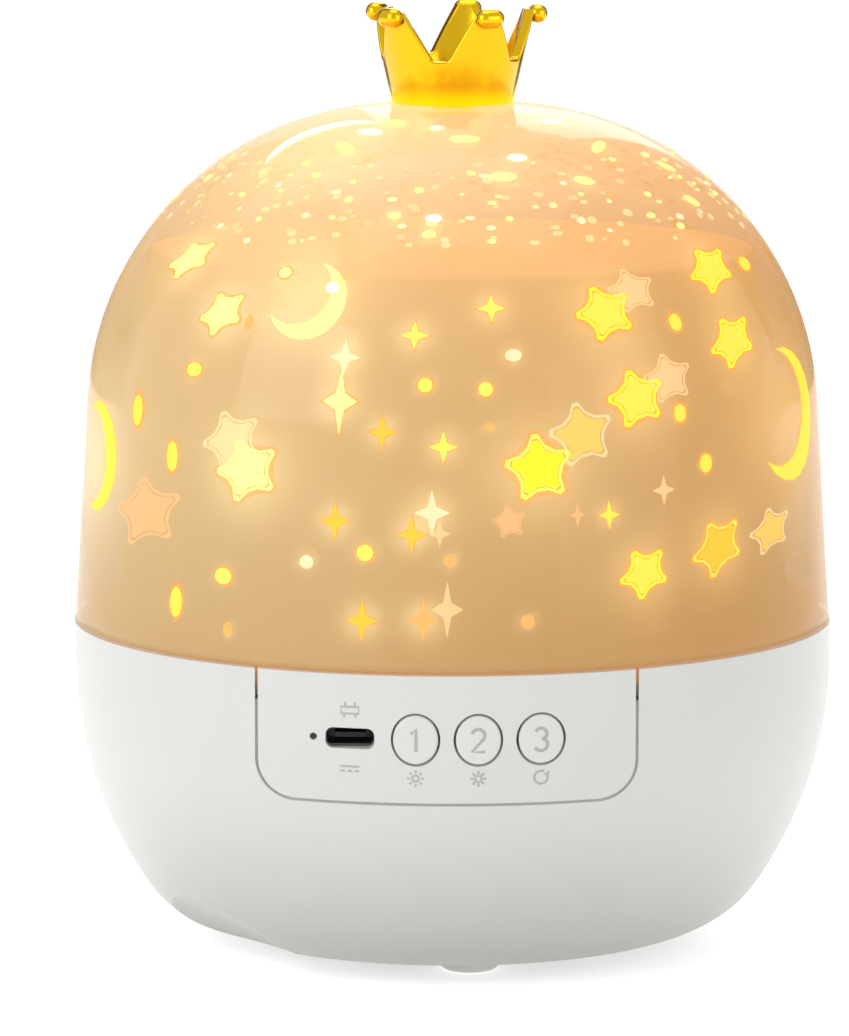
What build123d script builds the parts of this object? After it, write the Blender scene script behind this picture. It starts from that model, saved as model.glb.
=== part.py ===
from build123d import *
import os
from math import acos, asin, cos, pi, radians, sin, sqrt, tan

# Night light projector: a white bowl base with a control panel, a turntable driven by a
# small geared motor, a clear dome with a star film inside, and a gold crown on top.
# Millimetres. The origin is on the floor under the middle, +Z is up, the panel faces -Y.

os.makedirs("parts", exist_ok=True)

# Whole object
BASE_DIAMETER = 117.0
SEAM_HEIGHT = 50.5
SEAM_GAP = 0.4
CROWN_HEIGHT = 14.95

# Fits and cuts that serve the whole object
OVERRUN = 1.0
SLIP_GAP = 0.1
RUNNING_GAP = 0.25
SHAFT_GAP = 0.05

# Base bowl
BASE_WALL = 2.0
BASE_STRAIGHT = 5.5
BASE_FLAT_RADIUS = 33.0
BASE_CORNER_SHARE = 0.706

# Finger scoop in the lower edge, left of the front
SCOOP_AZIMUTH = -54.0
SCOOP_SLOPE = 32.0
SCOOP_RADIUS = 75.0
SCOOP_DEPTH = 2.1
SCOOP_WALL = 1.6
SCOOP_LENGTH = 40.0

# Bottom cover, its ledge and its screws
COVER_RADIUS = 31.5
COVER_THICKNESS = 2.4
COVER_GAP = 0.2
LEDGE_WIDTH = 2.5
LEDGE_LAP = 1.5
LEDGE_THICKNESS = 1.6
COVER_SCREW_COUNT = 4
COVER_SCREW_AZIMUTH = 51.0
COVER_SCREW_CIRCLE = 28.2
COVER_BOSS_RADIUS = 2.8
COVER_BOSS_HEIGHT = 6.0
COVER_SCREW_RADIUS = 1.0
COVER_SCREW_LENGTH = 5.0

# Rubber feet
FOOT_COUNT = 4
FOOT_AZIMUTH = 6.0
FOOT_CIRCLE = 25.5
FOOT_RADIUS = 4.5
FOOT_PROUD = 2.4
FOOT_POCKET = 1.0
FOOT_ROUNDING = 1.2

# Battery and its cradle
BATTERY_HEADROOM = 3.8
BATTERY_LENGTH = 65.3
BATTERY_Y = -6.0
BATTERY_EDGE = 0.8
PROTECTION_MARGIN = 0.8
PROTECTION_THICKNESS = 1.2
CRADLE_LENGTH = 38.0
CRADLE_LIP = 0.8
CRADLE_PLATE = 1.2
CRADLE_FLOOR = 2.0
SADDLE_SPACING = 28.0
SADDLE_THICKNESS = 4.0
PAD_LENGTH = 20.0
PAD_WIDTH = 12.0
PAD_X = -14.0

# Deck: the plate across the base, and the collar that guides the turntable
DECK_DEPTH = 19.5
DECK_THICKNESS = 2.0
DECK_GAP = 0.7
DECK_COLLAR_WALL = 1.5
DECK_SCREW_COUNT = 4
DECK_SCREW_AZIMUTH = 45.0
DECK_SCREW_INSET = 5.0
DECK_BOSS_RADIUS = 3.0
DECK_BOSS_HEIGHT = 16.0
DECK_SCREW_RADIUS = 1.1
DECK_SCREW_LENGTH = 8.0

# Turntable
TURN_DEPTH = 2.5
TURN_FLANGE = 2.0
TURN_RIM_GAP = 0.7
TURN_COLLAR_GAP = 0.5
SKIRT_BOARD_GAP = 0.22
SKIRT_WALL = 2.0
WASHER_THICKNESS = 1.0
LUG_COUNT = 3
LUG_MARGIN = 6.5
LUG_DEPTH = 1.6
LUG_WIDTH = 4.0
LUG_HEIGHT = 1.3
LUG_GAP = 0.3

# Gear pair: internal ring gear on the turntable, pinion on the motor
GEAR_MODULE = 1.0
GEAR_PRESSURE_ANGLE = 20.0
GEAR_BACKLASH = 0.14
RING_WALL = 2.9
RING_STEP_COUNT = 4
RING_ADDENDUM = 0.6
RING_DEDENDUM = 1.1
RING_HEIGHT = 7.0
RING_LIFT = 0.6
PINION_TEETH = 12
PINION_ADDENDUM = 0.8
PINION_DEDENDUM = 0.9
PINION_HEIGHT = 6.0
PINION_LIFT = 1.9
FLANK_STEPS = 3

# Clips that keep the turntable down
CLIP_COUNT = 3
CLIP_AZIMUTH = 0.0
CLIP_WIDTH = 8.0
CLIP_FOOT_LENGTH = 9.0
CLIP_FOOT_HEIGHT = 1.8
CLIP_UPRIGHT = 2.0
CLIP_GEAR_GAP = 0.6
CLIP_HOOK_GAP = 0.3
CLIP_HOOK_HEIGHT = 1.5
CLIP_HOOK_REACH = 4.0
CLIP_SCREW_INSET = 3.4
CLIP_SCREW_RADIUS = 0.9
CLIP_SCREW_LENGTH = 3.6

# Geared motor
GEARBOX_WIDTH = 12.0
GEARBOX_DEPTH = 10.0
GEARBOX_HEIGHT = 9.0
GEARBOX_EDGE = 0.5
BEARING_RADIUS = 2.2
BEARING_HEIGHT = 1.2
MOTOR_FLOOR_GAP = 3.2
MOTOR_CAP_SIZE = 8.0
MOTOR_CAP_HEIGHT = 2.0
SHAFT_RADIUS = 1.5
SHAFT_FLAT = 0.5
SHAFT_DEPTH = 4.0
SHAFT_TIP = 0.6
MOTOR_SCREW_SPACING = 9.0
MOTOR_SCREW_RADIUS = 0.8
MOTOR_SCREW_LENGTH = 4.0

# Light at the middle of the deck
LIGHT_BOARD_RADIUS = 13.5
LIGHT_BOARD_THICKNESS = 1.6
EMITTER_COUNT = 3
EMITTER_CIRCLE = 3.0
EMITTER_LENGTH = 3.5
EMITTER_WIDTH = 2.8
EMITTER_HEIGHT = 1.0
LENS_RADIUS = 7.0
LENS_WALL = 1.2
LENS_FLANGE_RADIUS = 8.6
LENS_FLANGE_HEIGHT = 1.0
LIGHT_SCREW_SPACING = 22.0
LIGHT_SCREW_RADIUS = 0.9
LIGHT_SCREW_LENGTH = 3.2

# Control panel
PANEL_WIDTH = 56.6
PANEL_X = -0.8
PANEL_DROP = 19.6
PANEL_CORNER = 6.0
PANEL_GROOVE = 0.45
PANEL_FIT = 0.1
PANEL_FLANGE = 1.2
PANEL_LAP = 1.6
CONTROL_DROP = 9.5

# Buttons and the switches behind them
BUTTON_NAMES = ["button_1", "button_2", "button_3"]
BUTTON_PITCH = 9.2
BUTTON_X = 3.85
BUTTON_WIDTH = 6.6
BUTTON_HEIGHT = 7.3
BUTTON_GAP = 0.35
BUTTON_PROUD = 0.12
BUTTON_EDGE = 0.35
BUTTON_FLANGE_LAP = 0.9
BUTTON_FLANGE = 0.8
BUTTON_STEM_RADIUS = 1.3
BUTTON_STEM = 0.3
SWITCH_SIZE = 4.5
SWITCH_HEIGHT = 2.5
SWITCH_WELL = 1.6
PLUNGER_RADIUS = 1.0
PLUNGER_PROUD = 0.6
PLUNGER_DEPTH = 0.8

# Socket and indicator
SOCKET_X = -15.0
SOCKET_WIDTH = 7.2
SOCKET_HEIGHT = 3.1
SOCKET_CORNER = 1.1
SOCKET_RECESS = 1.2
SOCKET_SHELL_WIDTH = 7.6
SOCKET_SHELL_HEIGHT = 3.0
SOCKET_SHELL_WALL = 0.35
SOCKET_BACK = 1.0
TONGUE_WIDTH = 4.6
TONGUE_HEIGHT = 0.7
TONGUE_INSET = 1.0
INDICATOR_X = -20.4
INDICATOR_RADIUS = 0.55
INDICATOR_RECESS = 0.8
INDICATOR_LED_SIZE = 1.6
INDICATOR_LED_HEIGHT = 0.8

# Control board
BOARD_WIDTH = 45.0
BOARD_HEIGHT = 14.0
BOARD_THICKNESS = 1.5
BOARD_LIFT = 0.6
BOARD_SCREW_XS = [-13.2, 12.2]
BOARD_SCREW_LIFT = 2.4
BOARD_BOSS_RADIUS = 2.0
BOARD_SCREW_RADIUS = 0.8
BOARD_SCREW_LENGTH = 5.0
CHIP_X = 0.0
CHIP_LIFT = 3.0
CHIP_LENGTH = 7.0
CHIP_HEIGHT = 4.4
CHIP_THICKNESS = 1.2

# Cables and the connectors on the back of the board
CABLE_DIAMETER = 1.4
CABLE_HOLE_RADIUS = 1.5
CABLE_BEND_SHARE = 0.45
BATTERY_CABLE_GAP = 4.0
BATTERY_CABLE_DROP = 9.0
BATTERY_CABLE_ANGLES = [-146.0, -160.0]
MOTOR_CABLE_GAP = 6.5
MOTOR_CABLE_DROP = 7.0
MOTOR_CABLE_ANGLES = [-35.0, -5.0, 23.0, 46.0]
MOTOR_CABLE_SHARES = [1.0, 0.92, 0.54, 0.12]
MOTOR_CABLE_LEAD = 10.0
CONNECTOR_WIDTH = 3.6
CONNECTOR_HEIGHT = 5.0
CONNECTOR_DEPTH = 2.4
CONNECTOR_LIFT = 5.0
BATTERY_CABLE_X = -19.0
MOTOR_CABLE_X = 16.0
LIGHT_CABLE_X = 20.0
LIGHT_HOLE_X = 9.0
LIGHT_HOLE_Y = -6.0
LIGHT_CABLE_DROP = 2.4

# Dome
DOME_WALL = 1.8
DOME_DRAFT_ANGLE = 3.43
DOME_SHOULDER_INSET = 10.5
DOME_HEADROOM = 23.1
DOME_TOP_RADIUS = 107.5
CROWN_SEAT = 0.45
DOME_PAD_RADIUS = 4.8
DOME_PAD_HEIGHT = 0.5

# Collar between the dome, the film and the turntable
COLLAR_REACH = 7.2
COLLAR_FLOOR = 1.6
COLLAR_RIM_GAP = 0.5
COLLAR_RIM_WALL = 1.1
COLLAR_BOND_HEIGHT = 2.0

# Star film
FILM_RIM_GAP = 2.3
FILM_DOME_GAP = 0.62
FILM_HEIGHT = 58.6
FILM_THICKNESS = 0.4
FILM_GROOVE = 0.8
FILM_FIT = 0.25

# Crown
CROWN_POINT_COUNT = 5
CROWN_AZIMUTH = 25.8
CROWN_BASE_RADIUS = 9.3
CROWN_TIP_RADIUS = 12.6
CROWN_WALL = 1.6
CROWN_FLOOR = 2.4
CROWN_BAND = 6.9
CROWN_VALLEY_WIDTH = 2.4
CROWN_VALLEY_ROUNDING = 1.1
CROWN_ARM_WIDTH = 4.2
CROWN_EDGE = 0.35
CROWN_BEAD_RADIUS = 1.45
CROWN_BEAD_WIDTH = 4.4
CROWN_BEAD_OFFSET = 0.5
CROWN_SPIGOT_RADIUS = 3.0
CROWN_SPIGOT_HEIGHT = 1.4
CROWN_SCREW_RADIUS = 1.3
CROWN_SCREW_LENGTH = 3.6
WASHER_RADIUS = 4.0
WASHER_HEIGHT = 0.6

# Screw heads, as shares of the shank's radius
HEAD_RADIUS_SHARE = 1.9
HEAD_HEIGHT_SHARE = 1.2
HEAD_ROUNDING_SHARE = 0.35
RECESS_LENGTH_SHARE = 2.2
RECESS_WIDTH_SHARE = 0.5
RECESS_DEPTH_SHARE = 0.6

# Levels
base_radius = BASE_DIAMETER / 2
base_inner_radius = base_radius - BASE_WALL
floor_z = FOOT_PROUD
straight_z = SEAM_HEIGHT - BASE_STRAIGHT
cover_top_z = floor_z + COVER_THICKNESS
deck_top_z = SEAM_HEIGHT - DECK_DEPTH
deck_z = deck_top_z - DECK_THICKNESS
battery_radius = (deck_z - BATTERY_HEADROOM - cover_top_z - CRADLE_FLOOR) / 2
battery_z = cover_top_z + CRADLE_FLOOR + battery_radius
light_board_top_z = deck_top_z + LIGHT_BOARD_THICKNESS
skirt_z = deck_top_z + WASHER_THICKNESS
turn_top_z = SEAM_HEIGHT - TURN_DEPTH
turn_flange_z = turn_top_z - TURN_FLANGE
collar_top_z = turn_flange_z - TURN_COLLAR_GAP
ring_z = skirt_z + RING_LIFT
ring_top_z = ring_z + RING_HEIGHT
pinion_z = deck_top_z + PINION_LIFT
pinion_top_z = pinion_z + PINION_HEIGHT
control_z = SEAM_HEIGHT - CONTROL_DROP
board_z = deck_top_z + BOARD_LIFT
dome_edge_z = SEAM_HEIGHT + SEAM_GAP
film_z = turn_top_z + FILM_GROOVE
film_top_z = film_z + FILM_HEIGHT
dome_apex_z = film_top_z + DOME_HEADROOM
dome_height = dome_apex_z - dome_edge_z
crown_z = dome_apex_z - CROWN_SEAT

# Arcs of the bowl: a side arc and a corner arc, tangent to each other and to the flat
side_run = base_radius - BASE_FLAT_RADIUS
side_rise = straight_z - floor_z
corner_radius = BASE_CORNER_SHARE * side_run
side_radius = (side_run**2 + side_rise**2 - 2 * side_rise * corner_radius) / (
    2 * (side_run - corner_radius)
)
side_centre = Vector(base_radius - side_radius, straight_z)
corner_centre = Vector(BASE_FLAT_RADIUS, floor_z + corner_radius)
corner_direction = (corner_centre - side_centre).normalized()

# Arcs of the dome: a drafted side, a shoulder arc and a flatter top arc on the axis
dome_slope = tan(radians(DOME_DRAFT_ANGLE))
dome_slant = sqrt(1 + dome_slope**2)
shoulder_radius = base_radius - DOME_SHOULDER_INSET
crest_centre_rise = dome_height - DOME_TOP_RADIUS
crest_offset = DOME_TOP_RADIUS - shoulder_radius
shoulder_reach = base_radius - shoulder_radius * dome_slant
shoulder_half = shoulder_reach * dome_slope + crest_centre_rise
shoulder_rest = shoulder_reach**2 + crest_centre_rise**2 - crest_offset**2
shoulder_rise = (
    shoulder_half + sqrt(shoulder_half**2 - dome_slant**2 * shoulder_rest)
) / dome_slant**2
shoulder_centre = Vector(shoulder_reach - dome_slope * shoulder_rise, dome_edge_z + shoulder_rise)
crest_centre = Vector(0, dome_edge_z + crest_centre_rise)
crest_direction = (shoulder_centre - crest_centre).normalized()
draft_normal = Vector(1, dome_slope).normalized()

# Alignments of round and square stock
STAND = (Align.CENTER, Align.CENTER, Align.MIN)
HANG = (Align.CENTER, Align.CENTER, Align.MAX)


# Shared forms
def plan_angle(azimuth):
    """Angle about Z of a place that lies at an azimuth, counted from the front to the right."""
    return azimuth - 90


def bowl_radius(z, inset):
    """Radius of the bowl's side at a height, inset from the outer face."""
    if z >= straight_z:
        return base_radius - inset
    return side_centre.X + sqrt((side_radius - inset) ** 2 - (straight_z - z) ** 2)


def bowl_floor_z(radius, inset):
    """Height of the bowl's floor at a radius, inset from the outer face."""
    run = max(radius - BASE_FLAT_RADIUS, 0)
    return corner_centre.Y - sqrt((corner_radius - inset) ** 2 - run**2)


def bowl(inset):
    """Solid bowl, inset from the base's outer face, up to the seam."""
    corner_end = side_centre + corner_direction * (side_radius - inset)
    with BuildPart() as form:
        with BuildSketch(Plane.XZ):
            with BuildLine():
                flat = Line((0, floor_z + inset), (BASE_FLAT_RADIUS, floor_z + inset))
                corner = TangentArc(flat @ 1, (corner_end.X, corner_end.Y), tangent=flat % 1)
                side = TangentArc(corner @ 1, (base_radius - inset, straight_z), tangent=corner % 1)
                rim = Line(side @ 1, (base_radius - inset, SEAM_HEIGHT))
                Polyline(rim @ 1, (0, SEAM_HEIGHT), flat @ 0)
            make_face()
        revolve(axis=Axis.Z)
    return form.part


def dome_form(inset):
    """Solid dome, inset from its outer face, from its lower edge up."""
    edge_radius = base_radius - inset * dome_slant
    shoulder_start = shoulder_centre + draft_normal * (shoulder_radius - inset)
    shoulder_end = crest_centre + crest_direction * (DOME_TOP_RADIUS - inset)
    with BuildPart() as form:
        with BuildSketch(Plane.XZ):
            with BuildLine():
                edge = Line((0, dome_edge_z), (edge_radius, dome_edge_z))
                side = Line(edge @ 1, (shoulder_start.X, shoulder_start.Y))
                shoulder = TangentArc(side @ 1, (shoulder_end.X, shoulder_end.Y), tangent=side % 1)
                crest = TangentArc(shoulder @ 1, (0, dome_apex_z - inset), tangent=shoulder % 1)
                Line(crest @ 1, edge @ 0)
            make_face()
        revolve(axis=Axis.Z)
    return form.part


def dome_radius(z, inset):
    """Radius of the dome's shoulder at a height, inset from the outer face."""
    return shoulder_centre.X + sqrt((shoulder_radius - inset) ** 2 - (z - shoulder_centre.Y) ** 2)


def wall_place(angle, z, gap):
    """Place beside the bowl's inner face, at an angle about Z, a height and a gap."""
    reach = bowl_radius(z, BASE_WALL) - gap
    return (reach * cos(radians(angle)), reach * sin(radians(angle)), z)


def panel_prism(margin, top):
    """U-shaped bar through the front wall, a margin wider than the panel's gap."""
    bottom = SEAM_HEIGHT - PANEL_DROP - margin
    with BuildPart() as form:
        with BuildSketch(Plane.XZ) as outline:
            with Locations((PANEL_X, bottom)):
                Rectangle(PANEL_WIDTH + 2 * margin, top - bottom, align=(Align.CENTER, Align.MIN))
            fillet(outline.vertices().group_by(Axis.Y)[0], PANEL_CORNER + margin)
        extrude(amount=base_radius + OVERRUN)
    return form.part


def scoop_bar(margin):
    """Round bar along the lower edge's slope that cuts the finger scoop, a margin thicker."""
    slope = radians(SCOOP_SLOPE)
    turn = radians(plan_angle(SCOOP_AZIMUTH))
    outward = Vector(cos(turn), sin(turn), 0)
    upward = Vector(0, 0, 1)
    normal = outward * sin(slope) - upward * cos(slope)
    along = outward * cos(slope) + upward * sin(slope)
    middle = outward * corner_centre.X + upward * corner_centre.Y
    place = middle + normal * (corner_radius + SCOOP_RADIUS - SCOOP_DEPTH)
    with BuildPart() as form:
        with BuildSketch(Plane(origin=place, z_dir=along)):
            Circle(SCOOP_RADIUS + margin)
        extrude(amount=SCOOP_LENGTH / 2, both=True)
    return form.part


def gear_outline(teeth, tip_radius, root_radius, thickening):
    """Corners of a gear with involute flanks, its first tooth centred on +X."""
    pitch_radius = GEAR_MODULE * teeth / 2
    pressure = radians(GEAR_PRESSURE_ANGLE)
    base_circle = pitch_radius * cos(pressure)
    start = max(base_circle, root_radius)
    steps = [start + (tip_radius - start) * step / FLANK_STEPS for step in range(FLANK_STEPS + 1)]
    if start > root_radius:
        steps.insert(0, root_radius)
    pitch_half = pi / (2 * teeth) + thickening / (2 * pitch_radius)
    halves = []
    for radius in steps:
        roll = acos(min(base_circle / radius, 1))
        halves.append(pitch_half + (tan(pressure) - pressure) - (tan(roll) - roll))
    corners = []
    for tooth in range(teeth):
        middle = 2 * pi * tooth / teeth
        rising = [(radius, middle - half) for radius, half in zip(steps, halves)]
        falling = [(radius, middle + half) for radius, half in zip(steps, halves)]
        for radius, angle in rising + falling[::-1]:
            corners.append((radius * cos(angle), radius * sin(angle)))
    return corners


def screw(shank_radius, length):
    """Pan-head screw with a cross recess, its head's underside on z = 0, pointing down."""
    head_height = shank_radius * HEAD_HEIGHT_SHARE
    recess_length = shank_radius * RECESS_LENGTH_SHARE
    recess_width = shank_radius * RECESS_WIDTH_SHARE
    recess_depth = shank_radius * RECESS_DEPTH_SHARE
    with BuildPart() as form:
        Cylinder(shank_radius * HEAD_RADIUS_SHARE, head_height, align=STAND)
        top_edges = form.edges().group_by(Axis.Z)[-1]
        fillet(top_edges, shank_radius * HEAD_ROUNDING_SHARE)
        with Locations((0, 0, head_height)):
            Box(recess_length, recess_width, recess_depth, align=HANG, mode=Mode.SUBTRACT)
            Box(recess_width, recess_length, recess_depth, align=HANG, mode=Mode.SUBTRACT)
        Cylinder(shank_radius, length, align=HANG)
    return form.part


def shaft_bar(low, high):
    """Motor shaft from one height to another, with its flat on the side away from the axis."""
    flat_y = SHAFT_RADIUS - SHAFT_FLAT
    with BuildPart() as form:
        with BuildSketch(Plane.XY.offset(low)):
            with Locations((0, pinion_y)):
                Circle(SHAFT_RADIUS)
            with Locations((0, pinion_y + flat_y)):
                Rectangle(2 * SHAFT_RADIUS, SHAFT_FLAT, align=(Align.CENTER, Align.MIN), mode=Mode.SUBTRACT)
        extrude(amount=high - low)
    return form.part


def cable(route):
    """Round cable along a route, with each bend as wide as its two runs allow."""
    points = [Vector(*point) for point in route]
    bends = []
    for before, corner, after in zip(points, points[1:], points[2:]):
        arriving = corner - before
        leaving = after - corner
        shorter = min(arriving.length, leaving.length)
        turn = radians(arriving.get_angle(leaving))
        bends.append(CABLE_BEND_SHARE * shorter / tan(turn / 2))
    print("cable bends:", [round(bend, 1) for bend in bends])
    with BuildPart() as form:
        with BuildLine() as path:
            FilletPolyline(*points, radius=bends)
        with BuildSketch(Plane(origin=path.line @ 0, z_dir=path.line % 0)):
            Circle(CABLE_DIAMETER / 2)
        sweep()
    return form.part


# Base shell: the white bowl with its wall bosses, cover ledge, panel gap and finger scoop
neck_radius = COVER_RADIUS + COVER_GAP + LEDGE_LAP
ledge_inner_radius = COVER_RADIUS - LEDGE_WIDTH
deck_radius = bowl_radius(deck_z, BASE_WALL) - DECK_GAP
deck_screw_circle = deck_radius - DECK_SCREW_INSET
outer_bowl = bowl(0)

with BuildPart() as wall_bosses:
    with Locations((0, 0, deck_z - DECK_BOSS_HEIGHT)):
        with PolarLocations(deck_screw_circle, DECK_SCREW_COUNT, plan_angle(DECK_SCREW_AZIMUTH)):
            Cylinder(DECK_BOSS_RADIUS, DECK_BOSS_HEIGHT, align=STAND)
    add(outer_bowl, mode=Mode.INTERSECT)

with BuildPart() as scoop_backing:
    add(scoop_bar(SCOOP_WALL))
    add(outer_bowl, mode=Mode.INTERSECT)

with BuildPart() as base_shell:
    add(outer_bowl)
    add(bowl(BASE_WALL), mode=Mode.SUBTRACT)
    add(scoop_backing.part)
    add(scoop_bar(0), mode=Mode.SUBTRACT)
    with Locations((0, 0, floor_z)):
        Cylinder(neck_radius, COVER_THICKNESS + LEDGE_THICKNESS, align=STAND)
    with Locations((0, 0, cover_top_z)):
        Cylinder(COVER_RADIUS + COVER_GAP, COVER_THICKNESS + OVERRUN, align=HANG, mode=Mode.SUBTRACT)
        Cylinder(ledge_inner_radius, LEDGE_THICKNESS + OVERRUN, align=STAND, mode=Mode.SUBTRACT)
        with PolarLocations(COVER_SCREW_CIRCLE, COVER_SCREW_COUNT, plan_angle(COVER_SCREW_AZIMUTH)):
            Cylinder(COVER_BOSS_RADIUS, COVER_BOSS_HEIGHT, align=STAND)
            Cylinder(COVER_SCREW_RADIUS, COVER_SCREW_LENGTH, align=STAND, mode=Mode.SUBTRACT)
    add(panel_prism(0, SEAM_HEIGHT + OVERRUN), mode=Mode.SUBTRACT)
    add(wall_bosses.part)
    with Locations((0, 0, deck_z)):
        with PolarLocations(deck_screw_circle, DECK_SCREW_COUNT, plan_angle(DECK_SCREW_AZIMUTH)):
            Cylinder(DECK_SCREW_RADIUS, DECK_SCREW_LENGTH, align=HANG, mode=Mode.SUBTRACT)
base_shell.part.label = "base_shell"
export_step(base_shell.part, "parts/base_shell.step")

# Bottom cover, let in flush with the underside
cover_head_radius = COVER_SCREW_RADIUS * HEAD_RADIUS_SHARE + SLIP_GAP
cover_head_height = COVER_SCREW_RADIUS * HEAD_HEIGHT_SHARE
with BuildPart() as bottom_cover:
    with Locations((0, 0, floor_z)):
        Cylinder(COVER_RADIUS, COVER_THICKNESS, align=STAND)
        with PolarLocations(FOOT_CIRCLE, FOOT_COUNT, plan_angle(FOOT_AZIMUTH)):
            Cylinder(FOOT_RADIUS + SLIP_GAP, FOOT_POCKET, align=STAND, mode=Mode.SUBTRACT)
        with PolarLocations(COVER_SCREW_CIRCLE, COVER_SCREW_COUNT, plan_angle(COVER_SCREW_AZIMUTH)):
            Cylinder(cover_head_radius, cover_head_height, align=STAND, mode=Mode.SUBTRACT)
            Cylinder(COVER_SCREW_RADIUS, COVER_THICKNESS, align=STAND, mode=Mode.SUBTRACT)
bottom_cover.part.label = "bottom_cover"
export_step(bottom_cover.part, "parts/bottom_cover.step")

# Screws up through the cover
cover_screw = screw(COVER_SCREW_RADIUS, COVER_THICKNESS - cover_head_height + COVER_SCREW_LENGTH)
with BuildPart() as cover_screws:
    with Locations((0, 0, floor_z + cover_head_height)):
        with PolarLocations(COVER_SCREW_CIRCLE, COVER_SCREW_COUNT, plan_angle(COVER_SCREW_AZIMUTH)):
            add(cover_screw, rotation=(180, 0, 0))
cover_screws.part.label = "cover_screws"
export_step(cover_screws.part, "parts/cover_screws.step")

# Rubber feet in the cover's pockets
with BuildPart() as feet:
    with PolarLocations(FOOT_CIRCLE, FOOT_COUNT, plan_angle(FOOT_AZIMUTH)):
        Cylinder(FOOT_RADIUS, FOOT_PROUD + FOOT_POCKET, align=STAND)
    fillet(feet.edges().group_by(Axis.Z)[0], FOOT_ROUNDING)
feet.part.label = "feet"
export_step(feet.part, "parts/feet.step")

# Battery cell, lying across the base
with BuildPart() as battery_cell:
    with BuildSketch(Plane.YZ.offset(-BATTERY_LENGTH / 2)):
        with Locations((BATTERY_Y, battery_z)):
            Circle(battery_radius)
    extrude(amount=BATTERY_LENGTH)
    fillet(battery_cell.edges(), BATTERY_EDGE)
battery_cell.part.label = "battery_cell"
export_step(battery_cell.part, "parts/battery_cell.step")

# Protection board on the battery's left end
with BuildPart() as battery_protection_board:
    with BuildSketch(Plane.YZ.offset(-BATTERY_LENGTH / 2)):
        with Locations((BATTERY_Y, battery_z)):
            Circle(battery_radius - PROTECTION_MARGIN)
    extrude(amount=-PROTECTION_THICKNESS)
battery_protection_board.part.label = "battery_protection_board"
export_step(battery_protection_board.part, "parts/battery_protection_board.step")

# Cradle with two saddles under the battery
cradle_width = 2 * (battery_radius + CRADLE_LIP)
with BuildPart() as battery_cradle:
    with Locations((0, BATTERY_Y, cover_top_z)):
        Box(CRADLE_LENGTH, cradle_width, CRADLE_PLATE, align=STAND)
        with GridLocations(SADDLE_SPACING, 0, 2, 1):
            Box(SADDLE_THICKNESS, cradle_width, battery_z - cover_top_z, align=STAND)
    with BuildSketch(Plane.YZ):
        with Locations((BATTERY_Y, battery_z)):
            Circle(battery_radius + SLIP_GAP)
    extrude(amount=BATTERY_LENGTH, both=True, mode=Mode.SUBTRACT)
battery_cradle.part.label = "battery_cradle"
export_step(battery_cradle.part, "parts/battery_cradle.step")

# Foam pad between the battery and the deck
with BuildPart() as foam_pad:
    with Locations((PAD_X, BATTERY_Y, deck_z)):
        Box(PAD_LENGTH, PAD_WIDTH, deck_z - battery_z, align=HANG)
    with BuildSketch(Plane.YZ):
        with Locations((BATTERY_Y, battery_z)):
            Circle(battery_radius + SLIP_GAP)
    extrude(amount=BATTERY_LENGTH, both=True, mode=Mode.SUBTRACT)
foam_pad.part.label = "foam_pad"
export_step(foam_pad.part, "parts/foam_pad.step")

# Places on the control panel, worked inwards from its outer face
control_radius = bowl_radius(control_z, 0)
panel_inset = BASE_WALL + PANEL_FIT + PANEL_FLANGE
panel_inner_radius = bowl_radius(control_z - BUTTON_HEIGHT / 2 - BUTTON_FLANGE_LAP, panel_inset)
panel_flange_top_z = collar_top_z
button_xs = [BUTTON_X + BUTTON_PITCH * step for step in (-1, 0, 1)]


def front_depth(radius, x):
    """Distance in front of the axis of a round wall at a place across it."""
    return sqrt(radius**2 - x**2)


def button_flange_depth(x):
    """Distance in front of the axis of a button's flange, clear of the panel's inner face."""
    outermost_x = abs(x) + BUTTON_WIDTH / 2 + BUTTON_FLANGE_LAP
    return front_depth(panel_inner_radius, outermost_x) - SLIP_GAP


nearest_flange_depth = min(button_flange_depth(x) for x in button_xs) - BUTTON_FLANGE
plunger_depth = nearest_flange_depth - BUTTON_STEM
switch_depth = plunger_depth - PLUNGER_PROUD
board_front_depth = switch_depth - SWITCH_HEIGHT
board_back_depth = board_front_depth - BOARD_THICKNESS
connector_depth = board_back_depth - CONNECTOR_DEPTH / 2
socket_edge_x = abs(SOCKET_X) + SOCKET_SHELL_WIDTH / 2
socket_mouth_depth = front_depth(control_radius, socket_edge_x) - SOCKET_RECESS
indicator_depth = front_depth(control_radius, INDICATOR_X) - INDICATOR_RECESS
indicator_led_depth = board_front_depth + INDICATOR_LED_HEIGHT
connector_z = board_z + CONNECTOR_LIFT
board_screw_z = board_z + BOARD_SCREW_LIFT

# Gear radii, with a whole number of teeth in every quarter of the ring
skirt_radius = board_back_depth - SKIRT_BOARD_GAP - DECK_COLLAR_WALL - RUNNING_GAP
ring_outer_radius = skirt_radius - SKIRT_WALL
ring_room = 2 * (ring_outer_radius - RING_WALL - RING_DEDENDUM) / GEAR_MODULE
ring_teeth = RING_STEP_COUNT * round(ring_room / RING_STEP_COUNT)
ring_pitch_radius = GEAR_MODULE * ring_teeth / 2
ring_tip_radius = ring_pitch_radius - RING_ADDENDUM
ring_root_radius = ring_pitch_radius + RING_DEDENDUM
pinion_pitch_radius = GEAR_MODULE * PINION_TEETH / 2
pinion_tip_radius = pinion_pitch_radius + PINION_ADDENDUM
pinion_root_radius = pinion_pitch_radius - PINION_DEDENDUM
pinion_y = ring_pitch_radius - pinion_pitch_radius
print("ring teeth:", ring_teeth, "skirt radius:", round(skirt_radius, 2))

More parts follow.
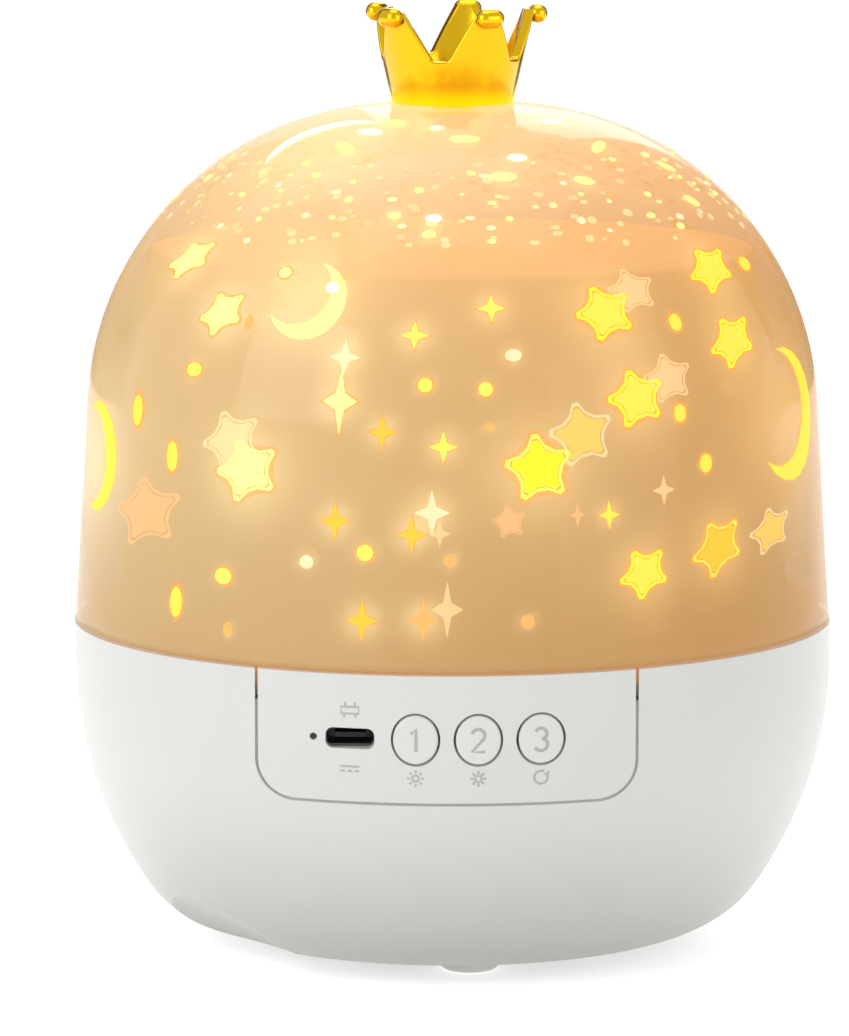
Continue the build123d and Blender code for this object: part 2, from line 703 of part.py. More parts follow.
# Deck, with the collar round the turntable's skirt
relief_radius = bowl_radius(deck_z, panel_inset) - DECK_GAP
relief_width = PANEL_WIDTH + 2 * (abs(PANEL_X) + PANEL_LAP + DECK_GAP)
collar_radius = skirt_radius + RUNNING_GAP
clip_outer_radius = ring_tip_radius - CLIP_GEAR_GAP
clip_inner_radius = clip_outer_radius - CLIP_FOOT_LENGTH
clip_screw_circle = clip_inner_radius + CLIP_SCREW_INSET
cable_places = [
    (BATTERY_CABLE_X, -connector_depth),
    (MOTOR_CABLE_X, -connector_depth),
    (LIGHT_CABLE_X, -connector_depth),
    (LIGHT_HOLE_X, LIGHT_HOLE_Y),
]
with BuildPart() as deck:
    with Locations((0, 0, deck_z)):
        Cylinder(deck_radius, DECK_THICKNESS, align=STAND)
    with BuildSketch(Plane.XY.offset(deck_z)):
        Circle(deck_radius + OVERRUN)
        Circle(relief_radius, mode=Mode.SUBTRACT)
        Rectangle(relief_width, base_radius, align=(Align.CENTER, Align.MAX), mode=Mode.INTERSECT)
    extrude(amount=DECK_THICKNESS, mode=Mode.SUBTRACT)
    with BuildSketch(Plane.XY.offset(deck_top_z)):
        Circle(collar_radius + DECK_COLLAR_WALL)
        Circle(collar_radius, mode=Mode.SUBTRACT)
    extrude(amount=collar_top_z - deck_top_z)
    with Locations((0, 0, deck_z)):
        with PolarLocations(deck_screw_circle, DECK_SCREW_COUNT, plan_angle(DECK_SCREW_AZIMUTH)):
            Cylinder(DECK_SCREW_RADIUS, DECK_THICKNESS, align=STAND, mode=Mode.SUBTRACT)
        with PolarLocations(clip_screw_circle, CLIP_COUNT, plan_angle(CLIP_AZIMUTH)):
            Cylinder(CLIP_SCREW_RADIUS, DECK_THICKNESS, align=STAND, mode=Mode.SUBTRACT)
        with GridLocations(LIGHT_SCREW_SPACING, 0, 2, 1):
            Cylinder(LIGHT_SCREW_RADIUS, DECK_THICKNESS, align=STAND, mode=Mode.SUBTRACT)
        with Locations((0, pinion_y)):
            Cylinder(BEARING_RADIUS + SLIP_GAP, DECK_THICKNESS, align=STAND, mode=Mode.SUBTRACT)
            with GridLocations(MOTOR_SCREW_SPACING, 0, 2, 1):
                Cylinder(MOTOR_SCREW_RADIUS, DECK_THICKNESS, align=STAND, mode=Mode.SUBTRACT)
        with Locations(*cable_places):
            Cylinder(CABLE_HOLE_RADIUS, DECK_THICKNESS, align=STAND, mode=Mode.SUBTRACT)
deck.part.label = "deck"
export_step(deck.part, "parts/deck.step")

# Screws down through the deck into the wall bosses
deck_screw = screw(DECK_SCREW_RADIUS, DECK_THICKNESS + DECK_SCREW_LENGTH)
with BuildPart() as deck_screws:
    with Locations((0, 0, deck_top_z)):
        with PolarLocations(deck_screw_circle, DECK_SCREW_COUNT, plan_angle(DECK_SCREW_AZIMUTH)):
            add(deck_screw)
deck_screws.part.label = "deck_screws"
export_step(deck_screws.part, "parts/deck_screws.step")

# Slippery washer that the turntable's skirt runs on
with BuildPart() as thrust_washer:
    with BuildSketch(Plane.XY.offset(deck_top_z)):
        Circle(skirt_radius)
        Circle(ring_outer_radius, mode=Mode.SUBTRACT)
    extrude(amount=WASHER_THICKNESS)
thrust_washer.part.label = "thrust_washer"
export_step(thrust_washer.part, "parts/thrust_washer.step")

# Turntable: skirt, flange and the lugs that carry the dome round
lug_radius = base_inner_radius - LUG_MARGIN
with BuildPart() as turntable:
    with Locations((0, 0, skirt_z)):
        Cylinder(skirt_radius, turn_top_z - skirt_z, align=STAND)
    with Locations((0, 0, turn_flange_z)):
        Cylinder(base_inner_radius - TURN_RIM_GAP, TURN_FLANGE, align=STAND)
    with Locations((0, 0, skirt_z)):
        Cylinder(ring_outer_radius, turn_top_z - skirt_z, align=STAND, mode=Mode.SUBTRACT)
    with Locations((0, 0, turn_top_z)):
        with PolarLocations(lug_radius, LUG_COUNT, plan_angle(0)):
            Box(LUG_DEPTH, LUG_WIDTH, LUG_HEIGHT, align=STAND)
turntable.part.label = "turntable"
export_step(turntable.part, "parts/turntable.step")

# Ring gear, pressed into the turntable's skirt
with BuildPart() as ring_gear:
    with BuildSketch(Plane.XY.offset(ring_z)):
        Circle(ring_outer_radius)
        with BuildLine():
            gaps = gear_outline(ring_teeth, ring_root_radius, ring_tip_radius, GEAR_BACKLASH)
            Polyline(*gaps, close=True)
        make_face(mode=Mode.SUBTRACT)
    extrude(amount=RING_HEIGHT)
ring_gear.part.label = "ring_gear"
export_step(ring_gear.part, "parts/ring_gear.step")

# Clips that hook over the ring gear's top face
clip_hook_z = ring_top_z + CLIP_HOOK_GAP
clip_hook_top_z = clip_hook_z + CLIP_HOOK_HEIGHT
clip_hook_radius = clip_outer_radius + CLIP_HOOK_REACH
clip_upright_radius = clip_outer_radius - CLIP_UPRIGHT
with BuildPart() as clip:
    with BuildSketch(Plane.XZ):
        with BuildLine():
            Polyline(
                (clip_inner_radius, deck_top_z),
                (clip_outer_radius, deck_top_z),
                (clip_outer_radius, clip_hook_z),
                (clip_hook_radius, clip_hook_z),
                (clip_hook_radius, clip_hook_top_z),
                (clip_upright_radius, clip_hook_top_z),
                (clip_upright_radius, deck_top_z + CLIP_FOOT_HEIGHT),
                (clip_inner_radius, deck_top_z + CLIP_FOOT_HEIGHT),
                close=True,
            )
        make_face()
    extrude(amount=CLIP_WIDTH / 2, both=True)
    with Locations((clip_screw_circle, 0, deck_top_z)):
        Cylinder(CLIP_SCREW_RADIUS, CLIP_FOOT_HEIGHT, align=STAND, mode=Mode.SUBTRACT)

with BuildPart() as retainer_clips:
    with PolarLocations(0, CLIP_COUNT, plan_angle(CLIP_AZIMUTH)):
        add(clip.part)
retainer_clips.part.label = "retainer_clips"
export_step(retainer_clips.part, "parts/retainer_clips.step")

# Screws down through the clips into the deck
clip_screw = screw(CLIP_SCREW_RADIUS, CLIP_SCREW_LENGTH)
with BuildPart() as clip_screws:
    with Locations((0, 0, deck_top_z + CLIP_FOOT_HEIGHT)):
        with PolarLocations(clip_screw_circle, CLIP_COUNT, plan_angle(CLIP_AZIMUTH)):
            add(clip_screw)
clip_screws.part.label = "clip_screws"
export_step(clip_screws.part, "parts/clip_screws.step")

# Gearbox, hung under the deck, with its bearing let into the deck
gearbox_z = deck_z - GEARBOX_HEIGHT
with BuildPart() as motor_gearbox:
    with Locations((0, pinion_y, gearbox_z)):
        Box(GEARBOX_WIDTH, GEARBOX_DEPTH, GEARBOX_HEIGHT, align=STAND)
    chamfer(motor_gearbox.edges().filter_by(Axis.Z), GEARBOX_EDGE)
    with Locations((0, pinion_y, deck_z)):
        Cylinder(BEARING_RADIUS, BEARING_HEIGHT, align=STAND)
    with Locations((0, pinion_y, deck_z + BEARING_HEIGHT)):
        Cylinder(SHAFT_RADIUS + SHAFT_GAP, BEARING_HEIGHT + SHAFT_DEPTH, align=HANG, mode=Mode.SUBTRACT)
    with Locations((0, pinion_y, deck_z)):
        with GridLocations(MOTOR_SCREW_SPACING, 0, 2, 1):
            Cylinder(MOTOR_SCREW_RADIUS, MOTOR_SCREW_LENGTH, align=HANG, mode=Mode.SUBTRACT)
motor_gearbox.part.label = "motor_gearbox"
export_step(motor_gearbox.part, "parts/motor_gearbox.step")

# Motor can under the gearbox: round with two flats
motor_floor_z = max(cover_top_z, bowl_floor_z(pinion_y + MOTOR_CAP_SIZE / 2, BASE_WALL))
motor_z = motor_floor_z + MOTOR_FLOOR_GAP + MOTOR_CAP_HEIGHT
with BuildPart() as drive_motor:
    with BuildSketch(Plane.XY.offset(motor_z)):
        with Locations((0, pinion_y)):
            Circle(GEARBOX_WIDTH / 2)
            Rectangle(GEARBOX_WIDTH, GEARBOX_DEPTH, mode=Mode.INTERSECT)
    extrude(amount=gearbox_z - motor_z)
drive_motor.part.label = "drive_motor"
export_step(drive_motor.part, "parts/drive_motor.step")

# Plastic cap with the motor's terminals
with BuildPart() as motor_cap:
    with Locations((0, pinion_y, motor_z)):
        Box(MOTOR_CAP_SIZE, MOTOR_CAP_SIZE, MOTOR_CAP_HEIGHT, align=HANG)
motor_cap.part.label = "motor_cap"
export_step(motor_cap.part, "parts/motor_cap.step")

# Screws down through the deck into the gearbox
motor_screw = screw(MOTOR_SCREW_RADIUS, DECK_THICKNESS + MOTOR_SCREW_LENGTH)
with BuildPart() as motor_screws:
    with Locations((0, pinion_y, deck_top_z)):
        with GridLocations(MOTOR_SCREW_SPACING, 0, 2, 1):
            add(motor_screw)
motor_screws.part.label = "motor_screws"
export_step(motor_screws.part, "parts/motor_screws.step")

# Output shaft: round in the bearing, with a flat where the pinion sits
with BuildPart() as pinion_shaft:
    with Locations((0, pinion_y, deck_z + SHAFT_GAP - SHAFT_DEPTH)):
        Cylinder(SHAFT_RADIUS, pinion_z - deck_z - SHAFT_GAP + SHAFT_DEPTH, align=STAND)
    add(shaft_bar(pinion_z, pinion_top_z + SHAFT_TIP))
pinion_shaft.part.label = "pinion_shaft"
export_step(pinion_shaft.part, "parts/pinion_shaft.step")

# Pinion, pressed on the shaft's flat, with a tooth in the ring gear's space at the back
with BuildPart() as drive_pinion:
    with BuildSketch(Plane.XY.offset(pinion_z)):
        with BuildLine():
            corners = gear_outline(PINION_TEETH, pinion_tip_radius, pinion_root_radius, -GEAR_BACKLASH)
            Polyline(*[(x, y + pinion_y) for x, y in corners], close=True)
        make_face()
    extrude(amount=PINION_HEIGHT)
    add(shaft_bar(pinion_z, pinion_top_z), mode=Mode.SUBTRACT)
drive_pinion.part.label = "drive_pinion"
export_step(drive_pinion.part, "parts/drive_pinion.step")

# Round light board at the middle of the deck
with BuildPart() as led_board:
    with Locations((0, 0, deck_top_z)):
        Cylinder(LIGHT_BOARD_RADIUS, LIGHT_BOARD_THICKNESS, align=STAND)
        with GridLocations(LIGHT_SCREW_SPACING, 0, 2, 1):
            Cylinder(LIGHT_SCREW_RADIUS, LIGHT_BOARD_THICKNESS, align=STAND, mode=Mode.SUBTRACT)
led_board.part.label = "led_board"
export_step(led_board.part, "parts/led_board.step")

# Light emitters
with BuildPart() as led_emitters:
    with Locations((0, 0, light_board_top_z)):
        with PolarLocations(EMITTER_CIRCLE, EMITTER_COUNT, plan_angle(0)):
            Box(EMITTER_WIDTH, EMITTER_LENGTH, EMITTER_HEIGHT, align=STAND)
led_emitters.part.label = "led_emitters"
export_step(led_emitters.part, "parts/led_emitters.step")

# Clear domed lens over the emitters
with BuildPart() as led_lens:
    with Locations((0, 0, light_board_top_z)):
        Sphere(LENS_RADIUS, arc_size1=0, align=STAND)
        Cylinder(LENS_FLANGE_RADIUS, LENS_FLANGE_HEIGHT, align=STAND)
        Sphere(LENS_RADIUS - LENS_WALL, arc_size1=0, align=STAND, mode=Mode.SUBTRACT)
led_lens.part.label = "led_lens"
export_step(led_lens.part, "parts/led_lens.step")

# Screws down through the light board into the deck
led_screw = screw(LIGHT_SCREW_RADIUS, LIGHT_SCREW_LENGTH)
with BuildPart() as led_screws:
    with Locations((0, 0, light_board_top_z)):
        with GridLocations(LIGHT_SCREW_SPACING, 0, 2, 1):
            add(led_screw)
led_screws.part.label = "led_screws"
export_step(led_screws.part, "parts/led_screws.step")

# Control panel: flush insert, with a flange behind the wall and bosses for the board
with BuildPart() as panel_flange:
    add(bowl(BASE_WALL + PANEL_FIT))
    add(bowl(panel_inset), mode=Mode.SUBTRACT)
    add(panel_prism(PANEL_LAP, panel_flange_top_z), mode=Mode.INTERSECT)

with BuildPart() as panel_back:
    add(bowl(BASE_WALL))
    add(bowl(panel_inset), mode=Mode.SUBTRACT)
    add(panel_prism(-PANEL_GROOVE, panel_flange_top_z), mode=Mode.INTERSECT)

with BuildPart() as panel_bosses:
    with BuildSketch(Plane.XZ.offset(board_front_depth)):
        with Locations(*[(x, board_screw_z) for x in BOARD_SCREW_XS]):
            Circle(BOARD_BOSS_RADIUS)
    extrude(amount=base_radius - board_front_depth)
    add(bowl(BASE_WALL), mode=Mode.INTERSECT)

with BuildPart() as control_panel:
    add(outer_bowl)
    add(bowl(BASE_WALL), mode=Mode.SUBTRACT)
    add(panel_prism(-PANEL_GROOVE, SEAM_HEIGHT), mode=Mode.INTERSECT)
    add(panel_back.part)
    add(panel_flange.part)
    add(panel_bosses.part)
    with BuildSketch(Plane.XZ):
        with Locations(*[(x, control_z) for x in button_xs]):
            Ellipse(BUTTON_WIDTH / 2 + BUTTON_GAP, BUTTON_HEIGHT / 2 + BUTTON_GAP)
        with Locations((SOCKET_X, control_z)):
            RectangleRounded(SOCKET_WIDTH, SOCKET_HEIGHT, SOCKET_CORNER)
        with Locations((INDICATOR_X, control_z)):
            Circle(INDICATOR_RADIUS)
    extrude(amount=base_radius + OVERRUN, mode=Mode.SUBTRACT)
    with BuildSketch(Plane.XZ):
        with Locations((SOCKET_X, control_z)):
            RectangleRounded(
                SOCKET_SHELL_WIDTH + 2 * SLIP_GAP,
                SOCKET_SHELL_HEIGHT + 2 * SLIP_GAP,
                SOCKET_CORNER + SLIP_GAP,
            )
    extrude(amount=socket_mouth_depth, mode=Mode.SUBTRACT)
    with BuildSketch(Plane.XZ.offset(board_front_depth)):
        with Locations(*[(x, board_screw_z) for x in BOARD_SCREW_XS]):
            Circle(BOARD_SCREW_RADIUS)
    extrude(amount=BOARD_SCREW_LENGTH - BOARD_THICKNESS, mode=Mode.SUBTRACT)
control_panel.part.label = "control_panel"
export_step(control_panel.part, "parts/control_panel.step")

# Buttons: an oval cap that follows the wall, a flange behind it and a stem
cap_form = bowl(-BUTTON_PROUD)
for name, x in zip(BUTTON_NAMES, button_xs):
    flange_depth = button_flange_depth(x)
    with BuildPart() as button:
        with BuildSketch(Plane.XZ.offset(flange_depth)):
            with Locations((x, control_z)):
                Ellipse(BUTTON_WIDTH / 2, BUTTON_HEIGHT / 2)
        extrude(amount=base_radius - flange_depth)
        add(cap_form, mode=Mode.INTERSECT)
        fillet(button.faces().sort_by(Axis.Y)[0].edges(), BUTTON_EDGE)
        with BuildSketch(Plane.XZ.offset(flange_depth)):
            with Locations((x, control_z)):
                Ellipse(BUTTON_WIDTH / 2 + BUTTON_FLANGE_LAP, BUTTON_HEIGHT / 2 + BUTTON_FLANGE_LAP)
        extrude(amount=-BUTTON_FLANGE)
        with BuildSketch(Plane.XZ.offset(plunger_depth)):
            with Locations((x, control_z)):
                Circle(BUTTON_STEM_RADIUS)
        extrude(amount=flange_depth - plunger_depth)
    button.part.label = name
    export_step(button.part, f"parts/{name}.step")

# Switch plungers, one behind each button
for name, x in zip(BUTTON_NAMES, button_xs):
    with BuildPart() as plunger:
        with BuildSketch(Plane.XZ.offset(switch_depth - PLUNGER_DEPTH)):
            with Locations((x, control_z)):
                Circle(PLUNGER_RADIUS)
        extrude(amount=PLUNGER_PROUD + PLUNGER_DEPTH)
    plunger_name = name.replace("button", "switch_plunger")
    plunger.part.label = plunger_name
    export_step(plunger.part, f"parts/{plunger_name}.step")

# Switch bodies on the board, each with a well for its plunger
with BuildPart() as tact_switches:
    with BuildSketch(Plane.XZ.offset(board_front_depth)):
        with Locations(*[(x, control_z) for x in button_xs]):
            Rectangle(SWITCH_SIZE, SWITCH_SIZE)
    extrude(amount=SWITCH_HEIGHT)
    with BuildSketch(Plane.XZ.offset(switch_depth - SWITCH_WELL)):
        with Locations(*[(x, control_z) for x in button_xs]):
            Circle(PLUNGER_RADIUS + SLIP_GAP)
    extrude(amount=SWITCH_WELL, mode=Mode.SUBTRACT)
tact_switches.part.label = "tact_switches"
export_step(tact_switches.part, "parts/tact_switches.step")

# Control board, screwed to the panel's bosses
with BuildPart() as control_board:
    with BuildSketch(Plane.XZ.offset(board_back_depth)):
        with Locations((0, board_z)):
            Rectangle(BOARD_WIDTH, BOARD_HEIGHT, align=(Align.CENTER, Align.MIN))
        with Locations(*[(x, board_screw_z) for x in BOARD_SCREW_XS]):
            Circle(BOARD_SCREW_RADIUS, mode=Mode.SUBTRACT)
    extrude(amount=BOARD_THICKNESS)
control_board.part.label = "control_board"
export_step(control_board.part, "parts/control_board.step")

# Screws through the board into the panel
board_screw = screw(BOARD_SCREW_RADIUS, BOARD_SCREW_LENGTH)
with BuildPart() as board_screws:
    with Locations(*[(x, -board_back_depth, board_screw_z) for x in BOARD_SCREW_XS]):
        add(board_screw, rotation=(-90, 0, 0))
board_screws.part.label = "board_screws"
export_step(board_screws.part, "parts/board_screws.step")

# Control chip on the front of the board
with BuildPart() as control_chip:
    with BuildSketch(Plane.XZ.offset(board_front_depth)):
        with Locations((CHIP_X, board_z + CHIP_LIFT)):
            Rectangle(CHIP_LENGTH, CHIP_HEIGHT)
    extrude(amount=CHIP_THICKNESS)
control_chip.part.label = "control_chip"
export_step(control_chip.part, "parts/control_chip.step")

# Charging socket: metal shell standing on the board, open at its mouth
with BuildPart() as usb_shell:
    with BuildSketch(Plane.XZ.offset(board_front_depth)):
        with Locations((SOCKET_X, control_z)):
            RectangleRounded(SOCKET_SHELL_WIDTH, SOCKET_SHELL_HEIGHT, SOCKET_CORNER)
    extrude(amount=socket_mouth_depth - board_front_depth)
    with BuildSketch(Plane.XZ.offset(board_front_depth + SOCKET_BACK)):
        with Locations((SOCKET_X, control_z)):
            RectangleRounded(
                SOCKET_SHELL_WIDTH - 2 * SOCKET_SHELL_WALL,
                SOCKET_SHELL_HEIGHT - 2 * SOCKET_SHELL_WALL,
                SOCKET_CORNER - SOCKET_SHELL_WALL,
            )
    extrude(amount=base_radius, mode=Mode.SUBTRACT)
usb_shell.part.label = "usb_shell"
export_step(usb_shell.part, "parts/usb_shell.step")

# Contact tongue inside the socket
tongue_length = socket_mouth_depth - board_front_depth - SOCKET_BACK - TONGUE_INSET
with BuildPart() as usb_tongue:
    with BuildSketch(Plane.XZ.offset(board_front_depth + SOCKET_BACK)):
        with Locations((SOCKET_X, control_z)):
            Rectangle(TONGUE_WIDTH, TONGUE_HEIGHT)
    extrude(amount=tongue_length)
usb_tongue.part.label = "usb_tongue"
export_step(usb_tongue.part, "parts/usb_tongue.step")

# Indicator light on the board
with BuildPart() as indicator_led:
    with BuildSketch(Plane.XZ.offset(board_front_depth)):
        with Locations((INDICATOR_X, control_z)):
            Rectangle(INDICATOR_LED_SIZE, INDICATOR_LED_SIZE)
    extrude(amount=INDICATOR_LED_HEIGHT)
indicator_led.part.label = "indicator_led"
export_step(indicator_led.part, "parts/indicator_led.step")

# Light pipe from the indicator into the panel's small hole
with BuildPart() as light_pipe:
    with BuildSketch(Plane.XZ.offset(indicator_led_depth)):
        with Locations((INDICATOR_X, control_z)):
            Circle(INDICATOR_RADIUS - SHAFT_GAP)
    extrude(amount=indicator_depth - indicator_led_depth)
light_pipe.part.label = "light_pipe"
export_step(light_pipe.part, "parts/light_pipe.step")

# Connectors on the back of the board
cable_xs = [BATTERY_CABLE_X, MOTOR_CABLE_X, LIGHT_CABLE_X]
with BuildPart() as board_connectors:
    with BuildSketch(Plane.XZ.offset(board_back_depth)):
        with Locations(*[(x, connector_z) for x in cable_xs]):
            Rectangle(CONNECTOR_WIDTH, CONNECTOR_HEIGHT, align=(Align.CENTER, Align.MIN))
    extrude(amount=-CONNECTOR_DEPTH)
board_connectors.part.label = "board_connectors"
export_step(board_connectors.part, "parts/board_connectors.step")

# Cables, held all the way inside the base
battery_turn_z = deck_z - BATTERY_CABLE_DROP
battery_wall_x = -sqrt((bowl_radius(battery_z, BASE_WALL) - BATTERY_CABLE_GAP) ** 2 - BATTERY_Y**2)
battery_route = [
    (BATTERY_CABLE_X, -connector_depth, connector_z),
    (BATTERY_CABLE_X, -connector_depth, battery_turn_z),
    *[wall_place(angle, battery_z, BATTERY_CABLE_GAP) for angle in BATTERY_CABLE_ANGLES],
    (battery_wall_x, BATTERY_Y, battery_z),
    (-BATTERY_LENGTH / 2 - PROTECTION_THICKNESS, BATTERY_Y, battery_z),
]
motor_cable_z = motor_z - MOTOR_CAP_HEIGHT / 2
motor_turn_z = deck_z - MOTOR_CABLE_DROP
motor_heights = [motor_cable_z + share * (motor_turn_z - motor_cable_z) for share in MOTOR_CABLE_SHARES]
motor_route = [
    (MOTOR_CABLE_X, -connector_depth, connector_z),
    (MOTOR_CABLE_X, -connector_depth, motor_turn_z),
    *[wall_place(angle, z, MOTOR_CABLE_GAP) for angle, z in zip(MOTOR_CABLE_ANGLES, motor_heights)],
    (MOTOR_CAP_SIZE / 2 + MOTOR_CABLE_LEAD, pinion_y, motor_cable_z),
    (MOTOR_CAP_SIZE / 2, pinion_y, motor_cable_z),
]
light_cable_z = deck_z - LIGHT_CABLE_DROP
light_route = [
    (LIGHT_CABLE_X, -connector_depth, connector_z),
    (LIGHT_CABLE_X, -connector_depth, light_cable_z),
    (LIGHT_HOLE_X, LIGHT_HOLE_Y, light_cable_z),
    (LIGHT_HOLE_X, LIGHT_HOLE_Y, deck_top_z),
]
cable_routes = {"battery_cable": battery_route, "motor_cable": motor_route, "led_cable": light_route}
for name, route in cable_routes.items():
    with BuildPart() as lead:
        add(cable(route))
    lead.part.label = name
    export_step(lead.part, f"parts/{name}.step")

# Clear dome, flat under the crown, with a pad inside for the crown's washer
pad_z = dome_apex_z - DOME_WALL - DOME_PAD_HEIGHT
with BuildPart() as dome_shell:
    add(dome_form(0))
    add(dome_form(DOME_WALL), mode=Mode.SUBTRACT)
    with Locations((0, 0, pad_z)):
        Cylinder(DOME_PAD_RADIUS, DOME_PAD_HEIGHT + DOME_WALL / 2, align=STAND)
    with Locations((0, 0, crown_z)):
        Cylinder(base_radius, CROWN_SEAT + OVERRUN, align=STAND, mode=Mode.SUBTRACT)
    with Locations((0, 0, crown_z + OVERRUN)):
        Cylinder(CROWN_SPIGOT_RADIUS + SLIP_GAP, dome_height / 2, align=HANG, mode=Mode.SUBTRACT)
dome_shell.part.label = "dome_shell"
export_step(dome_shell.part, "parts/dome_shell.step")

# Clear collar: stands on the turntable, carries the dome's wall and the film
rim_radius = base_inner_radius - COLLAR_RIM_GAP
rim_inner_radius = rim_radius - COLLAR_RIM_WALL
collar_inner_radius = rim_radius - COLLAR_REACH
film_bottom_radius = rim_inner_radius - FILM_RIM_GAP
film_top_radius = dome_radius(film_top_z + FILM_THICKNESS, DOME_WALL) - FILM_DOME_GAP
bond_radius = base_radius - DOME_WALL * dome_slant - SHAFT_GAP
bond_top_z = dome_edge_z + COLLAR_BOND_HEIGHT
bond_top_radius = bond_radius - COLLAR_BOND_HEIGHT * dome_slope
collar_floor_z = turn_top_z + COLLAR_FLOOR
with BuildPart() as dome_collar:
    with BuildSketch(Plane.XZ):
        with BuildLine():
            Polyline(
                (collar_inner_radius, turn_top_z),
                (rim_radius, turn_top_z),
                (rim_radius, dome_edge_z),
                (bond_radius, dome_edge_z),
                (bond_top_radius, bond_top_z),
                (rim_inner_radius, bond_top_z),
                (rim_inner_radius, collar_floor_z),
                (collar_inner_radius, collar_floor_z),
                close=True,
            )
        make_face()
    revolve(axis=Axis.Z)
    with BuildSketch(Plane.XY.offset(film_z)):
        Circle(film_bottom_radius + SLIP_GAP)
        Circle(film_bottom_radius - FILM_THICKNESS - FILM_FIT, mode=Mode.SUBTRACT)
    extrude(amount=collar_floor_z - film_z, mode=Mode.SUBTRACT)
    with Locations((0, 0, turn_top_z)):
        with PolarLocations(lug_radius, LUG_COUNT, plan_angle(0)):
            Box(
                LUG_DEPTH + 2 * LUG_GAP,
                LUG_WIDTH + 2 * LUG_GAP,
                COLLAR_FLOOR,
                align=STAND,
                mode=Mode.SUBTRACT,
            )
dome_collar.part.label = "dome_collar"
export_step(dome_collar.part, "parts/dome_collar.step")

# Star film: a rolled cone in the collar's groove
with BuildPart() as film_sleeve:
    with Locations((0, 0, film_z)):
        Cone(film_bottom_radius, film_top_radius, FILM_HEIGHT, align=STAND)
        Cone(
            film_bottom_radius - FILM_THICKNESS,
            film_top_radius - FILM_THICKNESS,
            FILM_HEIGHT,
            align=STAND,
            mode=Mode.SUBTRACT,
        )
film_sleeve.part.label = "film_sleeve"
export_step(film_sleeve.part, "parts/film_sleeve.step")

# Round top of the film
with BuildPart() as film_cap:
    with Locations((0, 0, film_top_z)):
        Cylinder(film_top_radius, FILM_THICKNESS, align=STAND)
film_cap.part.label = "film_cap"
export_step(film_cap.part, "parts/film_cap.step")

# Crown: a flared cup with round valleys between its points and a rolled bead on each point
crown_top_z = crown_z + CROWN_HEIGHT
bead_z = crown_top_z - CROWN_BEAD_RADIUS
bead_circle = CROWN_TIP_RADIUS + CROWN_BEAD_OFFSET
bead_half = CROWN_BEAD_WIDTH / 2 - CROWN_BEAD_RADIUS
arm_top_z = bead_z + CROWN_BEAD_RADIUS / 2
arm_height = arm_top_z - crown_z
point_step = 360 / CROWN_POINT_COUNT
arm_half_angle = asin(CROWN_ARM_WIDTH / 2 / CROWN_TIP_RADIUS)
valley_top_half = CROWN_TIP_RADIUS * sin(pi / CROWN_POINT_COUNT - arm_half_angle)
valley_flare = (valley_top_half - CROWN_VALLEY_WIDTH / 2) / (arm_height - CROWN_BAND)
valley_z = crown_z + CROWN_BAND
valley_end_z = crown_top_z + OVERRUN
valley_end_half = CROWN_VALLEY_WIDTH / 2 + valley_flare * (valley_end_z - valley_z)
crown_flare = (CROWN_TIP_RADIUS - CROWN_BASE_RADIUS) / arm_height
crown_floor_radius = CROWN_BASE_RADIUS + crown_flare * CROWN_FLOOR - CROWN_WALL

with BuildPart() as valley:
    with BuildSketch(Plane.YZ) as valley_outline:
        with BuildLine():
            Polyline(
                (-CROWN_VALLEY_WIDTH / 2, valley_z),
                (CROWN_VALLEY_WIDTH / 2, valley_z),
                (valley_end_half, valley_end_z),
                (-valley_end_half, valley_end_z),
                close=True,
            )
        make_face()
        fillet(valley_outline.vertices().group_by(Axis.Y)[0], CROWN_VALLEY_ROUNDING)
    extrude(amount=CROWN_TIP_RADIUS + OVERRUN)

with BuildPart() as bead:
    with Locations((0, 0, bead_z)):
        Cylinder(CROWN_BEAD_RADIUS, 2 * bead_half, rotation=(90, 0, 0))
    with Locations((0, bead_half, bead_z), (0, -bead_half, bead_z)):
        Sphere(CROWN_BEAD_RADIUS)

with BuildPart() as crown:
    with BuildSketch(Plane.XZ):
        with BuildLine():
            Polyline(
                (0, crown_z),
                (CROWN_BASE_RADIUS, crown_z),
                (CROWN_TIP_RADIUS, arm_top_z),
                (CROWN_TIP_RADIUS - CROWN_WALL, arm_top_z),
                (crown_floor_radius, crown_z + CROWN_FLOOR),
                (0, crown_z + CROWN_FLOOR),
                close=True,
            )
        make_face()
    revolve(axis=Axis.Z)
    with PolarLocations(0, CROWN_POINT_COUNT, plan_angle(CROWN_AZIMUTH) + point_step / 2):
        add(valley.part, mode=Mode.SUBTRACT)
    valley_edges = crown.edges().filter_by_position(Axis.Z, valley_z - OVERRUN, arm_top_z - CROWN_EDGE)
    fillet(valley_edges, CROWN_EDGE)
    with PolarLocations(bead_circle, CROWN_POINT_COUNT, plan_angle(CROWN_AZIMUTH)):
        add(bead.part)
    with Locations((0, 0, crown_z)):
        Cylinder(CROWN_SPIGOT_RADIUS, CROWN_SPIGOT_HEIGHT, align=HANG)
    with Locations((0, 0, pad_z)):
        Cylinder(CROWN_SCREW_RADIUS, CROWN_SCREW_LENGTH, align=STAND, mode=Mode.SUBTRACT)
crown.part.label = "crown"
export_step(crown.part, "parts/crown.step")

# Washer and screw that hold the crown from inside the dome
with BuildPart() as crown_washer:
    with Locations((0, 0, pad_z)):
        Cylinder(WASHER_RADIUS, WASHER_HEIGHT, align=HANG)
        Cylinder(CROWN_SCREW_RADIUS, WASHER_HEIGHT, align=HANG, mode=Mode.SUBTRACT)
crown_washer.part.label = "crown_washer"
export_step(crown_washer.part, "parts/crown_washer.step")

crown_screw_form = screw(CROWN_SCREW_RADIUS, WASHER_HEIGHT + CROWN_SCREW_LENGTH)
with BuildPart() as crown_screw:
    with Locations((0, 0, pad_z - WASHER_HEIGHT)):
        add(crown_screw_form, rotation=(180, 0, 0))
crown_screw.part.label = "crown_screw"
export_step(crown_screw.part, "parts/crown_screw.step")

